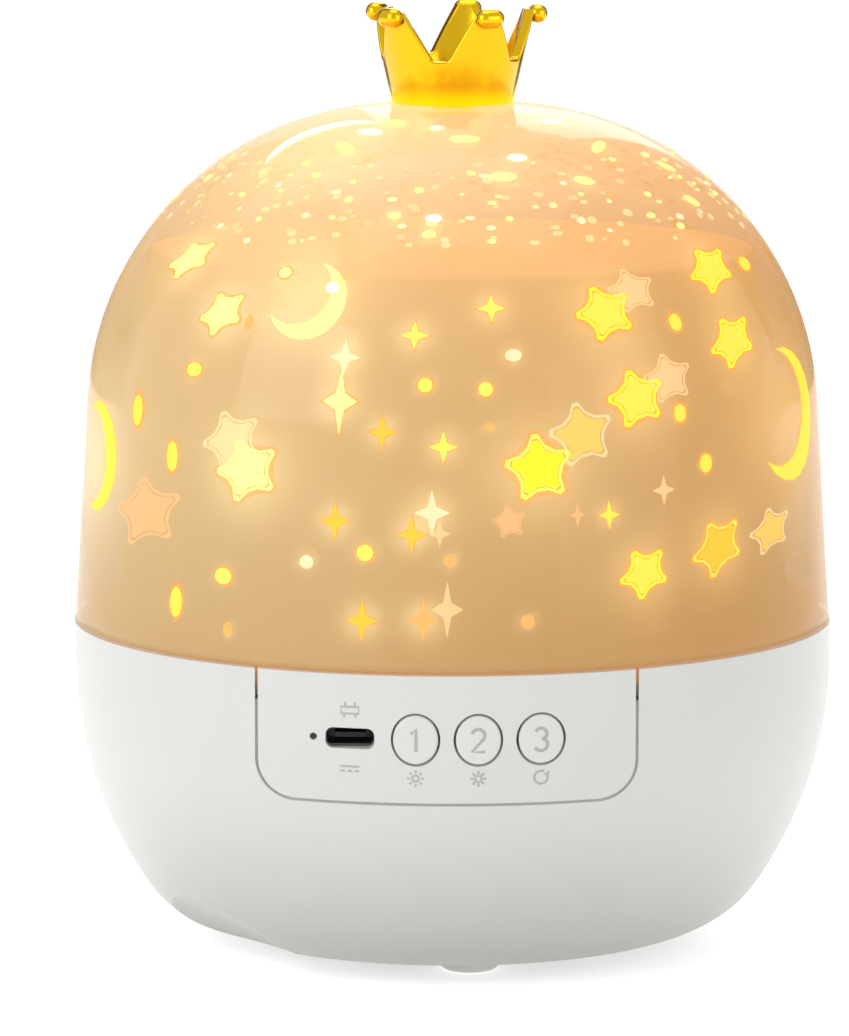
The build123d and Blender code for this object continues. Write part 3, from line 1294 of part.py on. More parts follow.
print("height:", round(crown_top_z, 2), "diameter:", BASE_DIAMETER)
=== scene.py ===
"""Night light projector: the looks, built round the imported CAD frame.

The object stands on the floor at the origin, +Z up, with its control panel facing -Y. Lengths are metres.
"""

import logging
import math
from dataclasses import dataclass, field
from enum import Enum
from random import Random
from typing import Sequence

import bmesh
import bpy
from mathutils import Matrix, Vector


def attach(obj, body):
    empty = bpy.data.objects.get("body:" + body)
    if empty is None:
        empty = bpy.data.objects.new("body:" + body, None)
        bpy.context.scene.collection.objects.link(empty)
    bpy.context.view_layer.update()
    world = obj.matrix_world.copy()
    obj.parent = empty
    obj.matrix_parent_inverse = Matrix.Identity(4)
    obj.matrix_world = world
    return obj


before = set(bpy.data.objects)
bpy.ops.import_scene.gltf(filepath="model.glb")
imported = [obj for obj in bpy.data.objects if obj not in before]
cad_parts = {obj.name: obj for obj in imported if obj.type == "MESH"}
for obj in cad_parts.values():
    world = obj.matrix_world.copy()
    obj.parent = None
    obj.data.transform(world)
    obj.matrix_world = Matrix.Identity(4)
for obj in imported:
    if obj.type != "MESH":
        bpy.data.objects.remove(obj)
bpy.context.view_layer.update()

Colour = tuple[float, float, float]
Point2 = tuple[float, float]
Socket = bpy.types.NodeSocket
Node = bpy.types.Node
NodeTree = bpy.types.NodeTree
Material = bpy.types.Material
Mesh = bpy.types.Mesh
Thing = bpy.types.Object
Form = bmesh.types.BMesh
Vert = bmesh.types.BMVert

NODES: dict[str, Thing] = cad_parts
LOG = logging.getLogger("night_light")
MM = 0.001
FAR = 0.3
PLATE_RISE = 0.01
SAME_PLACE = 1e-5
WHITE = (1.0, 1.0, 1.0)

# Names of mesh attributes
GLOW, LIFT, TURN, SIZE = "glow", "lift", "turn", "size"


# Colours

def srgb(code: str) -> Colour:
    """Linear colour of a six-digit hex code.

    Args:
        code: Red, green and blue as hex digits, such as "EEEEEB".

    Returns:
        The linear red, green and blue.
    """
    parts = [int(code[k:k + 2], 16) / 255 for k in (0, 2, 4)]
    return tuple(c / 12.92 if c <= 0.04045 else ((c + 0.055) / 1.055) ** 2.4 for c in parts)


# Nodes and shaders

def add_node(tree: NodeTree, kind: str, values: dict | None = None, **settings: object) -> Node:
    """Adds a node to a tree.

    Args:
        tree: The tree.
        kind: The node's Blender type.
        values: Its inputs by name or number: a socket is joined, anything else is set.
        settings: Its properties.

    Returns:
        The new node.
    """
    node = tree.nodes.new(kind)
    for key, value in settings.items():
        setattr(node, key, value)
    for key, value in (values or {}).items():
        if isinstance(value, Socket):
            tree.links.new(value, node.inputs[key])
        else:
            node.inputs[key].default_value = value
    return node


@dataclass
class Shader:
    """A material under construction, with short ways to add its nodes."""

    name: str
    material: Material = field(init=False)
    surface: Node = field(init=False)

    def __post_init__(self) -> None:
        """Starts the material with its one Principled shader."""
        self.material = bpy.data.materials.new(self.name)
        self.material.use_nodes = True
        self.surface = self.material.node_tree.nodes["Principled BSDF"]

    def add(self, kind: str, values: dict | None = None, **settings: object) -> Node:
        """Adds a node to the material, with what add_node takes."""
        return add_node(self.material.node_tree, kind, values, **settings)

    def set(self, **values: object) -> None:
        """Joins or sets sockets of the Principled shader.

        Args:
            values: A socket or a constant for each name, with spaces written as underscores.
        """
        for key, value in values.items():
            target = self.surface.inputs[key.replace("_", " ")]
            if isinstance(value, Socket):
                self.material.node_tree.links.new(value, target)
            else:
                target.default_value = (*value, 1.0) if isinstance(value, tuple) else value

    def place(self) -> Socket:
        """Object coordinates."""
        return self.add("ShaderNodeTexCoord").outputs["Object"]

    def axis(self, letter: str) -> Socket:
        """One of the Object coordinates."""
        return self.add("ShaderNodeSeparateXYZ", {0: self.place()}).outputs[letter]

    def noise(self, scale: float, detail: float = 3.0, stretch: Sequence[float] = (1, 1, 1)) -> Socket:
        """Noise over Object coordinates.

        Args:
            scale: Repeats per metre.
            detail: Octaves.
            stretch: Scale along each axis.

        Returns:
            The noise's factor.
        """
        mapped = self.add("ShaderNodeMapping", {"Vector": self.place(), "Scale": stretch})
        values = {"Vector": mapped.outputs["Vector"], "Scale": scale, "Detail": detail}
        return self.add("ShaderNodeTexNoise", values).outputs["Fac"]

    def span(self, value: Socket, low: float, high: float, easing: str = "SMOOTHSTEP") -> Socket:
        """A value brought from low..high to 0..1.

        Args:
            value: What to bring into range.
            low: The value that gives 0.
            high: The value that gives 1.
            easing: How it goes from one to the other.

        Returns:
            The share between the two.
        """
        values = {"Value": value, "From Min": low, "From Max": high}
        return self.add("ShaderNodeMapRange", values, interpolation_type=easing).outputs["Result"]

    def ramp(self, value: Socket, stops: Sequence[tuple[float, Colour]]) -> Socket:
        """Colours along a value.

        Args:
            value: The place on the ramp, 0 to 1.
            stops: Places and their colours.

        Returns:
            The colour.
        """
        node = self.add("ShaderNodeValToRGB", {"Fac": value})
        elements = node.color_ramp.elements
        while len(elements) < len(stops):
            elements.new(0.5)
        for element, (place, colour) in zip(elements, stops):
            element.position = place
            element.color = (*colour, 1)
        return node.outputs["Color"]

    def mix(self, share: float | Socket, one: object, two: object, blend: str = "MIX") -> Socket:
        """Mixes two colours.

        Args:
            share: How much of the second.
            one: First colour or colour socket.
            two: Second colour or colour socket.
            blend: How they are mixed.

        Returns:
            The mixed colour.
        """
        one, two = [(*value, 1) if isinstance(value, tuple) else value for value in (one, two)]
        node = self.add("ShaderNodeMix", {0: share, 6: one, 7: two}, data_type="RGBA", blend_type=blend)
        return node.outputs[2]

    def openness(self, distance: float, samples: int) -> Socket:
        """Share of open sky round a place, low in corners and gaps."""
        return self.add("ShaderNodeAmbientOcclusion", {"Distance": distance}, samples=samples).outputs["AO"]

    def bump(self, height: Socket, strength: float, distance: float) -> None:
        """Gives the shader a bump, whose depth is in metres."""
        values = {"Height": height, "Strength": strength, "Distance": distance}
        self.set(Normal=self.add("ShaderNodeBump", values).outputs["Normal"])

    def vary(self, target: str, value: Socket, low: float, high: float) -> None:
        """Drives a socket of the shader between two limits by a share."""
        values = {"Value": value, "To Min": low, "To Max": high}
        self.set(**{target: self.add("ShaderNodeMapRange", values).outputs["Result"]})


# Finishes

@dataclass(frozen=True)
class MouldedPlastic:
    """Moulded plastic: faint clouding of the colour and a fine skin texture."""

    name: str
    colour: Colour
    roughness: float = 0.4
    grain: float = 0.12
    cloud: float = 0.97
    coat: float = 0.0
    grain_depth: float = 0.00003

    def make(self) -> Material:
        """Builds the material.

        Returns:
            The material.
        """
        shader = Shader(self.name)
        dim = tuple(c * self.cloud for c in self.colour)
        shader.set(Base_Color=shader.mix(shader.noise(55, 4), self.colour, dim))
        shader.vary("Roughness", shader.noise(900, 2), self.roughness - 0.05, self.roughness + 0.05)
        shader.set(Coat_Weight=self.coat, Coat_Roughness=0.12)
        shader.bump(shader.noise(4200, 2), self.grain, self.grain_depth)
        return shader.material


@dataclass(frozen=True)
class BaseWhite:
    """White shell plastic, with painted shade that greys it towards its foot and painted light, a faint
    glow, in its narrow gaps.
    """

    name: str
    colour: Colour
    foot_shade_colour: Colour
    roughness: float = 0.36
    foot_z: float = 0.002
    full_z: float = 0.034
    cloud: Colour = (0.975, 0.975, 0.97)
    gap_light: float = 0.11
    gap_width: float = 0.0012
    grain_depth: float = 0.00003

    def make(self) -> Material:
        """Builds the material.

        Returns:
            The material.
        """
        shader = Shader(self.name)
        # Painted shade: the colour greys from the full height down to the foot, where less light falls.
        height = shader.span(shader.axis("Z"), self.foot_z, self.full_z)
        tone = shader.mix(height, self.foot_shade_colour, self.colour)
        cloud = shader.mix(shader.noise(40, 4), WHITE, self.cloud)
        shader.set(Base_Color=shader.mix(1.0, tone, cloud, "MULTIPLY"))
        shader.vary("Roughness", shader.noise(700, 2), self.roughness - 0.04, self.roughness + 0.05)
        # Painted light: narrow gaps glow faintly in the shell's colour, so they read grey instead of dark.
        gap = shader.span(shader.openness(self.gap_width, 4), 0.45, 0.1)
        shader.vary("Emission Strength", gap, 0.0, self.gap_light)
        shader.set(Coat_Weight=0.15, Coat_Roughness=0.2, Emission_Color=self.colour)
        shader.bump(shader.noise(3600, 2), 0.1, self.grain_depth)
        return shader.material


@dataclass(frozen=True)
class Metal:
    """Bare metal with fine drawn lines."""

    name: str
    colour: Colour
    roughness: float = 0.3
    stretch: Sequence[float] = (1, 1, 12)
    dim: float = 0.82
    line_depth: float = 0.00002

    def make(self) -> Material:
        """Builds the material.

        Returns:
            The material.
        """
        shader = Shader(self.name)
        lines = shader.noise(900, 3, self.stretch)
        dim = tuple(c * self.dim for c in self.colour)
        shader.set(Base_Color=shader.mix(lines, self.colour, dim))
        shader.vary("Roughness", lines, self.roughness - 0.08, self.roughness + 0.1)
        shader.set(Metallic=1.0)
        shader.bump(lines, 0.08, self.line_depth)
        return shader.material


@dataclass(frozen=True)
class CrownGold:
    """Gold-plated plastic, with painted shade, brown, in its corners and a painted yellow glow at its foot.
    """

    name: str
    colour: Colour
    corner_shade_colour: Colour
    glow_colour: Colour
    foot_z: float
    glow_height: float
    glow_level: float = 0.75
    corner_reach: float = 0.005
    ripple_depth: float = 0.0002

    def make(self) -> Material:
        """Builds the material.

        Returns:
            The material.
        """
        shader = Shader(self.name)
        # Painted shade: corners, creases and the undersides of the beads turn brown where little light
        # reaches.
        open_share = shader.span(shader.openness(self.corner_reach, 8), 0.2, 0.9)
        shader.set(Base_Color=shader.mix(open_share, self.corner_shade_colour, self.colour))
        # Painted light: the foot glows yellow, standing in for the dome's lit haze reflected in the gold.
        rising = shader.span(shader.axis("Z"), self.foot_z + self.glow_height, self.foot_z)
        shader.vary("Emission Strength", rising, 0.0, self.glow_level)
        shader.vary("Roughness", shader.noise(300, 3), 0.14, 0.24)
        shader.set(Metallic=0.92, Emission_Color=self.glow_colour, Coat_Weight=0.15, Coat_Roughness=0.06)
        shader.bump(shader.noise(260, 2), 0.12, self.ripple_depth)
        return shader.material


@dataclass(frozen=True)
class ClearPlastic:
    """Clear gloss plastic with a faint warm tint, and a glow of painted light where glow is set."""

    name: str
    colour: Colour
    alpha: float
    roughness: float = 0.05
    glow: float = 0.0
    dim: float = 0.95
    ripple_depth: float = 0.0006

    def make(self) -> Material:
        """Builds the material.

        Returns:
            The material.
        """
        shader = Shader(self.name)
        dim = tuple(c * self.dim for c in self.colour)
        shader.set(Base_Color=shader.mix(shader.noise(30, 3), self.colour, dim))
        shader.vary("Roughness", shader.noise(120, 3), self.roughness, self.roughness + 0.04)
        # Painted light: the glow makes the part shine in its own colour though it is no lamp.
        shader.set(Alpha=self.alpha, IOR=1.4, Emission_Color=self.colour, Emission_Strength=self.glow)
        shader.bump(shader.noise(26, 2), 0.05, self.ripple_depth)
        return shader.material


@dataclass(frozen=True)
class LampHaze:
    """Warm haze of lamp light: tan low down, peach at the top, with painted light making one side paler than
    the other, where the lamps on that side light and reflect.
    """

    name: str
    low_z: float
    high_z: float
    stops: tuple[tuple[float, Colour], ...]
    pale_side: Colour
    shaded_side_tint: Colour
    half_width: float
    glow: float
    side_alpha: float = 1.0
    top_alpha: float = 1.0
    thin_from: float = 0.1
    thin_to: float = 0.115
    patch: Colour = (0.9, 0.86, 0.8)
    halo: Colour = (1.0, 0.88, 0.5)
    gloss: float = 0.0

    def make(self) -> Material:
        """Builds the material.

        Returns:
            The material.
        """
        shader = Shader(self.name)
        height = shader.span(shader.axis("Z"), self.low_z, self.high_z, "LINEAR")
        glow = shader.add("ShaderNodeAttribute", attribute_name=GLOW).outputs["Fac"]
        tone = shader.mix(glow, shader.ramp(height, self.stops), self.halo)
        # Painted light: paler towards the lamps on one side, warmer towards the shaded side.
        across = shader.span(shader.axis("X"), -self.half_width, self.half_width)
        patches = shader.mix(shader.noise(38, 3), WHITE, self.patch)
        for tint in (shader.mix(across, self.pale_side, self.shaded_side_tint), patches):
            tone = shader.mix(1.0, tone, tint, "MULTIPLY")
        shader.set(Base_Color=tone, Emission_Color=tone)
        thin = shader.span(shader.axis("Z"), self.thin_from, self.thin_to)
        shader.vary("Alpha", thin, self.side_alpha, self.top_alpha)
        shader.set(Emission_Strength=self.glow, Roughness=0.45, Specular_IOR_Level=0.1)
        shader.set(Coat_Weight=self.gloss, Coat_Roughness=0.04)
        return shader.material


@dataclass(frozen=True)
class LightPrint:
    """A patch of projected light."""

    name: str
    colour: Colour
    strength: float
    alpha: float = 1.0
    warmth: Colour = (1.0, 0.93, 0.8)

    def make(self) -> Material:
        """Builds the material.

        Returns:
            The material.
        """
        shader = Shader(self.name)
        warm = tuple(c * f for c, f in zip(self.colour, self.warmth))
        tone = shader.mix(shader.noise(420, 3), self.colour, warm)
        shader.set(Base_Color=tone, Emission_Color=tone)
        shader.set(Emission_Strength=self.strength, Roughness=0.6, Specular_IOR_Level=0.0, Alpha=self.alpha)
        return shader.material


# The second colour of each is painted shade, the greyer foot of the shell.
BASE_PLASTIC = BaseWhite("base_white_plastic", srgb("E9E9E6"), srgb("D2D2CD"))
PANEL_PLASTIC = BaseWhite("panel_white_plastic", srgb("E9E9E6"), srgb("D8D8D4"))
BUTTON_PLASTIC = MouldedPlastic("button_white_plastic", srgb("EDEDEB"), 0.34, 0.08)
COVER_PLASTIC = MouldedPlastic("cover_plastic", srgb("DADAD6"), 0.5)
INNER_PLASTIC = MouldedPlastic("inner_white_plastic", srgb("E4E4E0"), 0.5)
GEAR_PLASTIC = MouldedPlastic("gear_acetal", srgb("EFEDE2"), 0.38)
WASHER_PLASTIC = MouldedPlastic("washer_plastic", srgb("F2F2F0"), 0.3)
DARK_PLASTIC = MouldedPlastic("dark_plastic", srgb("1B1B1D"), 0.45, 0.2)
SOCKET_DARK = MouldedPlastic("socket_dark", srgb("0A0A0B"), 0.5, 0.2)
IVORY_PLASTIC = MouldedPlastic("connector_ivory", srgb("E8E0C4"), 0.45)
# Painted light: the feet glow faintly, so they read pale in the shade under the base.
FOOT_RUBBER = ClearPlastic("foot_rubber", srgb("E2E2DE"), 1.0, 0.55, 0.28)
FOAM = MouldedPlastic("grey_foam", srgb("4C4C50"), 0.9, 1.0, 0.7)
CABLE_SLEEVE = MouldedPlastic("cable_sleeve", srgb("202022"), 0.55, 0.2)
CELL_WRAP = MouldedPlastic("cell_wrap", srgb("2E5FA3"), 0.22, 0.05, 0.92, 0.5)
BOARD_MASK = MouldedPlastic("board_green", srgb("1F5A35"), 0.35, 0.25, 0.85, 0.3)
LIGHT_BOARD = MouldedPlastic("light_board_white", srgb("EFEFEA"), 0.4, 0.2)
STEEL = Metal("screw_steel", srgb("BEBEC0"))
MOTOR_STEEL = Metal("motor_steel", srgb("C8C8CB"), 0.28)
SOCKET_STEEL = Metal("socket_steel", srgb("5C5C60"), 0.4)
BRASS = Metal("gearbox_brass", srgb("C9A24D"), 0.32)
PRINT_INK = MouldedPlastic("print_ink", srgb("BDBDB9"), 0.5, 0.1)
LENS = ClearPlastic("lens_clear", srgb("FFF6E0"), 0.35)
PIPE = MouldedPlastic("pipe_dark", srgb("2A2624"), 0.3)
# Painted light: the collar and the dome glow faintly in their tint, standing in for the lamp's light inside
# them.
COLLAR = ClearPlastic("collar_clear", srgb("E2B67C"), 0.7, 0.08, 0.25)
DOME = ClearPlastic("dome_clear", srgb("F2C88F"), 0.1, 0.045, 0.1)
EMITTER = LightPrint("emitter_light", srgb("FFE9A8"), 4.0)
# Second colour: painted shade in the crown's corners; third: the painted glow at its foot.
GOLD = CrownGold("crown_gold", srgb("E5B80A"), srgb("4A2804"), srgb("FFF000"), 0.13005, 0.0034)
FILM = LampHaze(
    "film_lit", 0.048, 0.108,
    ((0.0, srgb("BA9D6A")), (0.35, srgb("C3AB7B")), (0.75, srgb("CDB586")), (1.0, srgb("DCC08C"))),
    pale_side=(1.1, 1.12, 1.12), shaded_side_tint=(0.98, 0.86, 0.66), half_width=0.05, glow=0.55,
)
CAP = LampHaze(
    "film_cap_lit", 0.1, 0.11, ((0.0, srgb("F3C68C")), (1.0, srgb("F7CE95"))),
    pale_side=(1.0, 1.0, 1.0), shaded_side_tint=(0.98, 0.92, 0.84), half_width=0.05, glow=0.6,
)
HAZE = LampHaze(
    "dome_haze", 0.05, 0.1295,
    ((0.0, srgb("B39869")), (0.3, srgb("BFA87B")), (0.62, srgb("C5AC7E")), (0.8, srgb("D2B482")),
     (1.0, srgb("EAD09C"))),
    pale_side=(1.12, 1.15, 1.2), shaded_side_tint=(1.02, 0.82, 0.54), half_width=0.055, glow=0.5,
    side_alpha=0.55, top_alpha=0.42, gloss=0.55,
)

FINISH_NODES = {
    BASE_PLASTIC: "base_shell",
    PANEL_PLASTIC: "control_panel",
    BUTTON_PLASTIC: "button_1 button_2 button_3",
    COVER_PLASTIC: "bottom_cover",
    FOOT_RUBBER: "feet",
    FOAM: "foam_pad",
    STEEL: "cover_screws deck_screws clip_screws motor_screws led_screws board_screws crown_screw "
           "crown_washer",
    INNER_PLASTIC: "battery_cradle deck turntable retainer_clips",
    WASHER_PLASTIC: "thrust_washer",
    GEAR_PLASTIC: "ring_gear drive_pinion",
    MOTOR_STEEL: "drive_motor pinion_shaft",
    BRASS: "motor_gearbox",
    DARK_PLASTIC: "motor_cap switch_plunger_1 switch_plunger_2 switch_plunger_3 tact_switches control_chip",
    CELL_WRAP: "battery_cell",
    BOARD_MASK: "battery_protection_board control_board",
    LIGHT_BOARD: "led_board",
    EMITTER: "led_emitters",
    LENS: "led_lens",
    IVORY_PLASTIC: "indicator_led board_connectors",
    SOCKET_STEEL: "usb_shell",
    SOCKET_DARK: "usb_tongue",
    PIPE: "light_pipe",
    CABLE_SLEEVE: "battery_cable motor_cable led_cable",
    DOME: "dome_shell",
    COLLAR: "dome_collar",
    FILM: "film_sleeve",
    CAP: "film_cap",
    GOLD: "crown",
}


@dataclass
class Paintbox:
    """Makes each finish once and hands out its material."""

    made: dict[str, Material] = field(default_factory=dict)

    def get(self, finish: object) -> Material:
        """The material of a finish.

        Args:
            finish: One of the finishes.

        Returns:
            Its material.
        """
        if finish.name not in self.made:
            self.made[finish.name] = finish.make()
        return self.made[finish.name]

    def dress_nodes(self) -> None:
        """Gives every CAD node its finish."""
        for finish, names in FINISH_NODES.items():
            for name in names.split():
                materials = NODES[name].data.materials
                materials.clear()
                materials.append(self.get(finish))
            LOG.info("dressed %s in %s", names, finish.name)


# Camera, light and floor

@dataclass
class Studio:
    """Camera at the photograph's viewing angle, soft lamps, a pale floor and a dark flag on each side."""

    photo_width: int = 849
    photo_height: int = 1036
    focal_pixels: float = 6530.0
    sensor: float = 36.0
    eye: tuple[float, float, float] = (0.0, -1.0, 0.20794)
    pitch: float = math.radians(8.10)
    yaw: float = math.radians(-0.246)
    clip: Point2 = (0.01, 60.0)
    soft_light: float = 0.42
    floor_size: float = 12.0
    floor_light: float = 0.62
    flag_near: float = 0.1
    flag_far: float = 0.5
    flag_back: float = 0.3
    flag_low: float = 0.06
    flag_high: float = 0.5

    def axes(self) -> tuple[Vector, Vector, Vector]:
        """The camera's axes.

        Returns:
            Its right, its up and its viewing direction.
        """
        level = math.cos(self.pitch)
        ahead = Vector((math.sin(self.yaw) * level, math.cos(self.yaw) * level, -math.sin(self.pitch)))
        right = Vector((math.cos(self.yaw), -math.sin(self.yaw), 0))
        return right, right.cross(ahead), ahead

    def ray(self, x: float, y: float) -> tuple[Vector, Vector]:
        """The line of sight through a pixel of the photograph.

        Args:
            x: Pixels from the left.
            y: Pixels from the top.

        Returns:
            The eye and the direction.
        """
        right, up, ahead = self.axes()
        across = (x - self.photo_width / 2) / self.focal_pixels
        down = (y - self.photo_height / 2) / self.focal_pixels
        return Vector(self.eye), (ahead + right * across - up * down).normalized()

    def build_camera(self) -> None:
        """Adds the camera."""
        data = bpy.data.cameras.new("photo_camera")
        data.sensor_fit = "HORIZONTAL"
        data.sensor_width = self.sensor
        data.lens = self.focal_pixels * self.sensor / self.photo_width
        data.clip_start, data.clip_end = self.clip
        camera = bpy.data.objects.new("photo_camera", data)
        right, up, ahead = self.axes()
        turn = Matrix((right, up, -ahead)).transposed().to_4x4()
        camera.matrix_world = Matrix.Translation(self.eye) @ turn
        bpy.context.scene.collection.objects.link(camera)
        bpy.context.scene.camera = camera

    def lamp(self, name: str, place: Sequence[float], aim: Sequence[float], size: Point2,
             watts: float) -> None:
        """Adds a soft rectangular lamp.

        Args:
            name: The lamp's name.
            place: Where it stands.
            aim: What it points at.
            size: Its width and height.
            watts: Its power.
        """
        data = bpy.data.lights.new(name, "AREA")
        data.shape, data.size, data.size_y = "RECTANGLE", size[0], size[1]
        data.energy = watts
        lamp = bpy.data.objects.new(name, data)
        lamp.location = place
        lamp.rotation_euler = (Vector(aim) - Vector(place)).to_track_quat("-Z", "Y").to_euler()
        bpy.context.scene.collection.objects.link(lamp)

    def build_lamps(self) -> None:
        """Adds the lamps."""
        self.lamp("key_left", (-0.85, -0.65, 0.5), (0, 0, 0.07), (0.7, 0.7), 4.6)
        self.lamp("fill_right", (0.9, -0.7, 0.35), (0, 0, 0.06), (0.9, 0.7), 2.5)
        self.lamp("top_soft", (0.0, 0.1, 1.1), (0, 0, 0.05), (0.9, 0.9), 4.0)
        self.lamp("back_rim", (0.25, 0.9, 0.5), (0, 0, 0.07), (0.7, 0.5), 2.5)

    def seen_share(self, tree: NodeTree) -> Socket:
        """Share of rays that look at a background: camera, glossy and transmission rays.

        Args:
            tree: The node tree to add to.

        Returns:
            The share, 0 or 1.
        """
        path = add_node(tree, "ShaderNodeLightPath").outputs
        total = path["Is Camera Ray"]
        for name in ("Is Glossy Ray", "Is Transmission Ray"):
            larger = add_node(tree, "ShaderNodeMath", {0: total, 1: path[name]}, operation="MAXIMUM")
            total = larger.outputs[0]
        return total

    def build_world(self) -> None:
        """A white background that lights the object only softly."""
        world = bpy.data.worlds.new("studio_world")
        world.use_nodes = True
        bpy.context.scene.world = world
        tree = world.node_tree
        soft = tree.nodes["Background"]
        soft.inputs["Color"].default_value = (1, 1, 1, 1)
        soft.inputs["Strength"].default_value = self.soft_light
        seen = add_node(tree, "ShaderNodeBackground", {"Strength": 1.0})
        values = {0: self.seen_share(tree), 1: soft.outputs[0], 2: seen.outputs[0]}
        mix = add_node(tree, "ShaderNodeMixShader", values)
        tree.links.new(mix.outputs[0], tree.nodes["World Output"].inputs["Surface"])

    def plane(self, name: str, corners: Sequence[Sequence[float]], shader: Shader) -> Thing:
        """Adds a flat sheet.

        Args:
            name: Its name.
            corners: Its four corners.
            shader: Its surface.

        Returns:
            The sheet.
        """
        mesh = bpy.data.meshes.new(name)
        mesh.from_pydata(corners, [], [(0, 1, 2, 3)])
        mesh.materials.append(shader.material)
        sheet = bpy.data.objects.new(name, mesh)
        bpy.context.scene.collection.objects.link(sheet)
        return sheet

    def build_floor(self) -> None:
        """A pale floor that keeps the object's shadow."""
        shader = Shader("pale_floor")
        shader.set(Base_Color=shader.mix(shader.noise(3), srgb("F7F7F6"), srgb("F4F4F3")))
        shader.set(Roughness=0.9, Specular_IOR_Level=0.0, Emission_Color=WHITE)
        shader.vary("Emission Strength", self.seen_share(shader.material.node_tree), 0.0, self.floor_light)
        half = self.floor_size / 2
        corners = [(-half, -half, 0), (half, -half, 0), (half, half, 0), (-half, half, 0)]
        floor = self.plane("floor", corners, shader)

    def build_flag(self, name: str, side: int) -> None:
        """A dark flag beside the frame that only reflections show.

        Args:
            name: Its name.
            side: 1 for the right, -1 for the left.
        """
        shader = Shader(name + "_cloth")
        shader.set(Base_Color=shader.mix(shader.noise(20), srgb("4A3C30"), srgb("42362C")), Roughness=0.9)
        near, far, back = side * self.flag_near, side * self.flag_far, self.flag_back
        corners = [(near, back, self.flag_low), (far, back, self.flag_low),
                   (far, back, self.flag_high), (near, back, self.flag_high)]
        flag = self.plane(name, corners, shader)
        flag.visible_camera = flag.visible_diffuse = flag.visible_transmission = flag.visible_shadow = False

    def build(self) -> None:
        """Adds everything round the object."""
        bpy.context.scene.view_settings.view_transform = "Standard"
        self.build_camera()
        self.build_lamps()
        self.build_world()
        self.build_floor()
        self.build_flag("flag_right", 1)
        self.build_flag("flag_left", -1)
        LOG.info("built the studio")


# Mesh helpers

def add_piece(name: str, mesh: Mesh, body: str) -> Thing:
    """Makes an object of a mesh and lets it ride on a body.

    Args:
        name: The piece's name.
        mesh: Its mesh, in place.
        body: The CAD body it rides on.

    Returns:
        The piece.
    """
    piece = bpy.data.objects.new(name, mesh)
    bpy.context.scene.collection.objects.link(piece)
    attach(piece, body)
    LOG.info("built %s: %d faces", name, len(mesh.polygons))
    return piece


def star_points(points: int, outer: float, inner: float, rounding: int = 0) -> list[Point2]:
    """Corners of a star.

    Args:
        points: How many points.
        outer: Radius of its tips.
        inner: Radius of its inner corners.
        rounding: Corner-cutting passes that soften it.

    Returns:
        The corners, anticlockwise, first tip up.
    """
    ring = []
    for k in range(2 * points):
        radius = inner if k % 2 else outer
        angle = math.pi / 2 + math.pi * k / points
        ring.append((radius * math.cos(angle), radius * math.sin(angle)))
    return soften(ring, rounding)


def soften(ring: Sequence[Point2], passes: int) -> list[Point2]:
    """A closed outline with its corners cut.

    Args:
        ring: The outline's corners.
        passes: How often each corner is cut.

    Returns:
        The softer outline.
    """
    for _ in range(passes):
        cut = []
        for here, there in zip(ring, [*ring[1:], ring[0]]):
            for share in (0.25, 0.75):
                cut.append(tuple(h + (t - h) * share for h, t in zip(here, there)))
        ring = cut
    return list(ring)


def arc(middle: Point2, radius: float, first: float, last: float, steps: int = 10) -> list[Point2]:
    """Points of an arc.

    Args:
        middle: Its centre.
        radius: Its radius.
        first: Start angle in degrees.
        last: End angle in degrees.
        steps: Stretches along it.

    Returns:
        The points.
    """
    angles = [math.radians(first + (last - first) * k / steps) for k in range(steps + 1)]
    return [(middle[0] + radius * math.cos(a), middle[1] + radius * math.sin(a)) for a in angles]


def moon_arcs(outer: float, bite: float, shift: float, steps: int = 14) -> tuple[list[Point2], list[Point2]]:
    """The two arcs of a crescent that opens to the right.

    Args:
        outer: The moon's radius.
        bite: Radius of the circle taken out of it.
        shift: How far that circle lies to the right.
        steps: Stretches along each arc.

    Returns:
        The outer and the inner arc, from the upper tip to the lower one.
    """
    reach = (outer**2 - bite**2 + shift**2) / (2 * shift)
    tip = math.acos(reach / outer)
    first = math.degrees(tip)
    inner_first = math.degrees(math.atan2(outer * math.sin(tip), reach - shift))
    return (arc((0.0, 0.0), outer, first, 360 - first, steps),
            arc((shift, 0.0), bite, inner_first, 360 - inner_first, steps))


def skin(form: Form, rings: Sequence[Sequence[Vert]], closed: bool) -> None:
    """Joins rings of vertices with a skin.

    Args:
        form: What the vertices are in.
        rings: Rings of as many vertices each, in order.
        closed: Whether the last ring joins the first.
    """
    for k in range(0 if closed else 1, len(rings)):
        one, two = rings[k - 1], rings[k]
        for a in range(len(one)):
            form.faces.new((one[a - 1], one[a], two[a], two[a - 1]))


def mesh_of(form: Form, name: str) -> Mesh:
    """Ends a form as a mesh with outward normals.

    Args:
        form: The form, freed here.
        name: The mesh's name.

    Returns:
        The mesh.
    """
    bmesh.ops.recalc_face_normals(form, faces=form.faces)
    mesh = bpy.data.meshes.new(name)
    form.to_mesh(mesh)
    form.free()
    return mesh


def plate_mesh(name: str, outer: Sequence[Point2], inner: Sequence[Point2], closed: bool) -> Mesh:
    """Thin plate between two lines of points, with points in the same place joined.

    Args:
        name: The mesh's name.
        outer: Points of the outer line.
        inner: As many points of the inner line, all in one place for a plate without a hole.
        closed: Whether the lines run round to their start.

    Returns:
        The plate, flat on z = 0 and facing +Z, with the attribute lift.
    """
    form = bmesh.new()
    lift = form.verts.layers.float.new(LIFT)
    rings = []
    for far, near in zip(outer, inner):
        rings.append([])
        for point, raised in ((far, 1), (near, 1), (near, 0), (far, 0)):
            vert = form.verts.new((*point, raised * PLATE_RISE))
            vert[lift] = raised
            rings[-1].append(vert)
    skin(form, rings, closed)
    bmesh.ops.remove_doubles(form, verts=form.verts, dist=SAME_PLACE)
    bmesh.ops.delete(form, geom=[edge for edge in form.edges if not edge.link_faces], context="EDGES")
    return mesh_of(form, name)


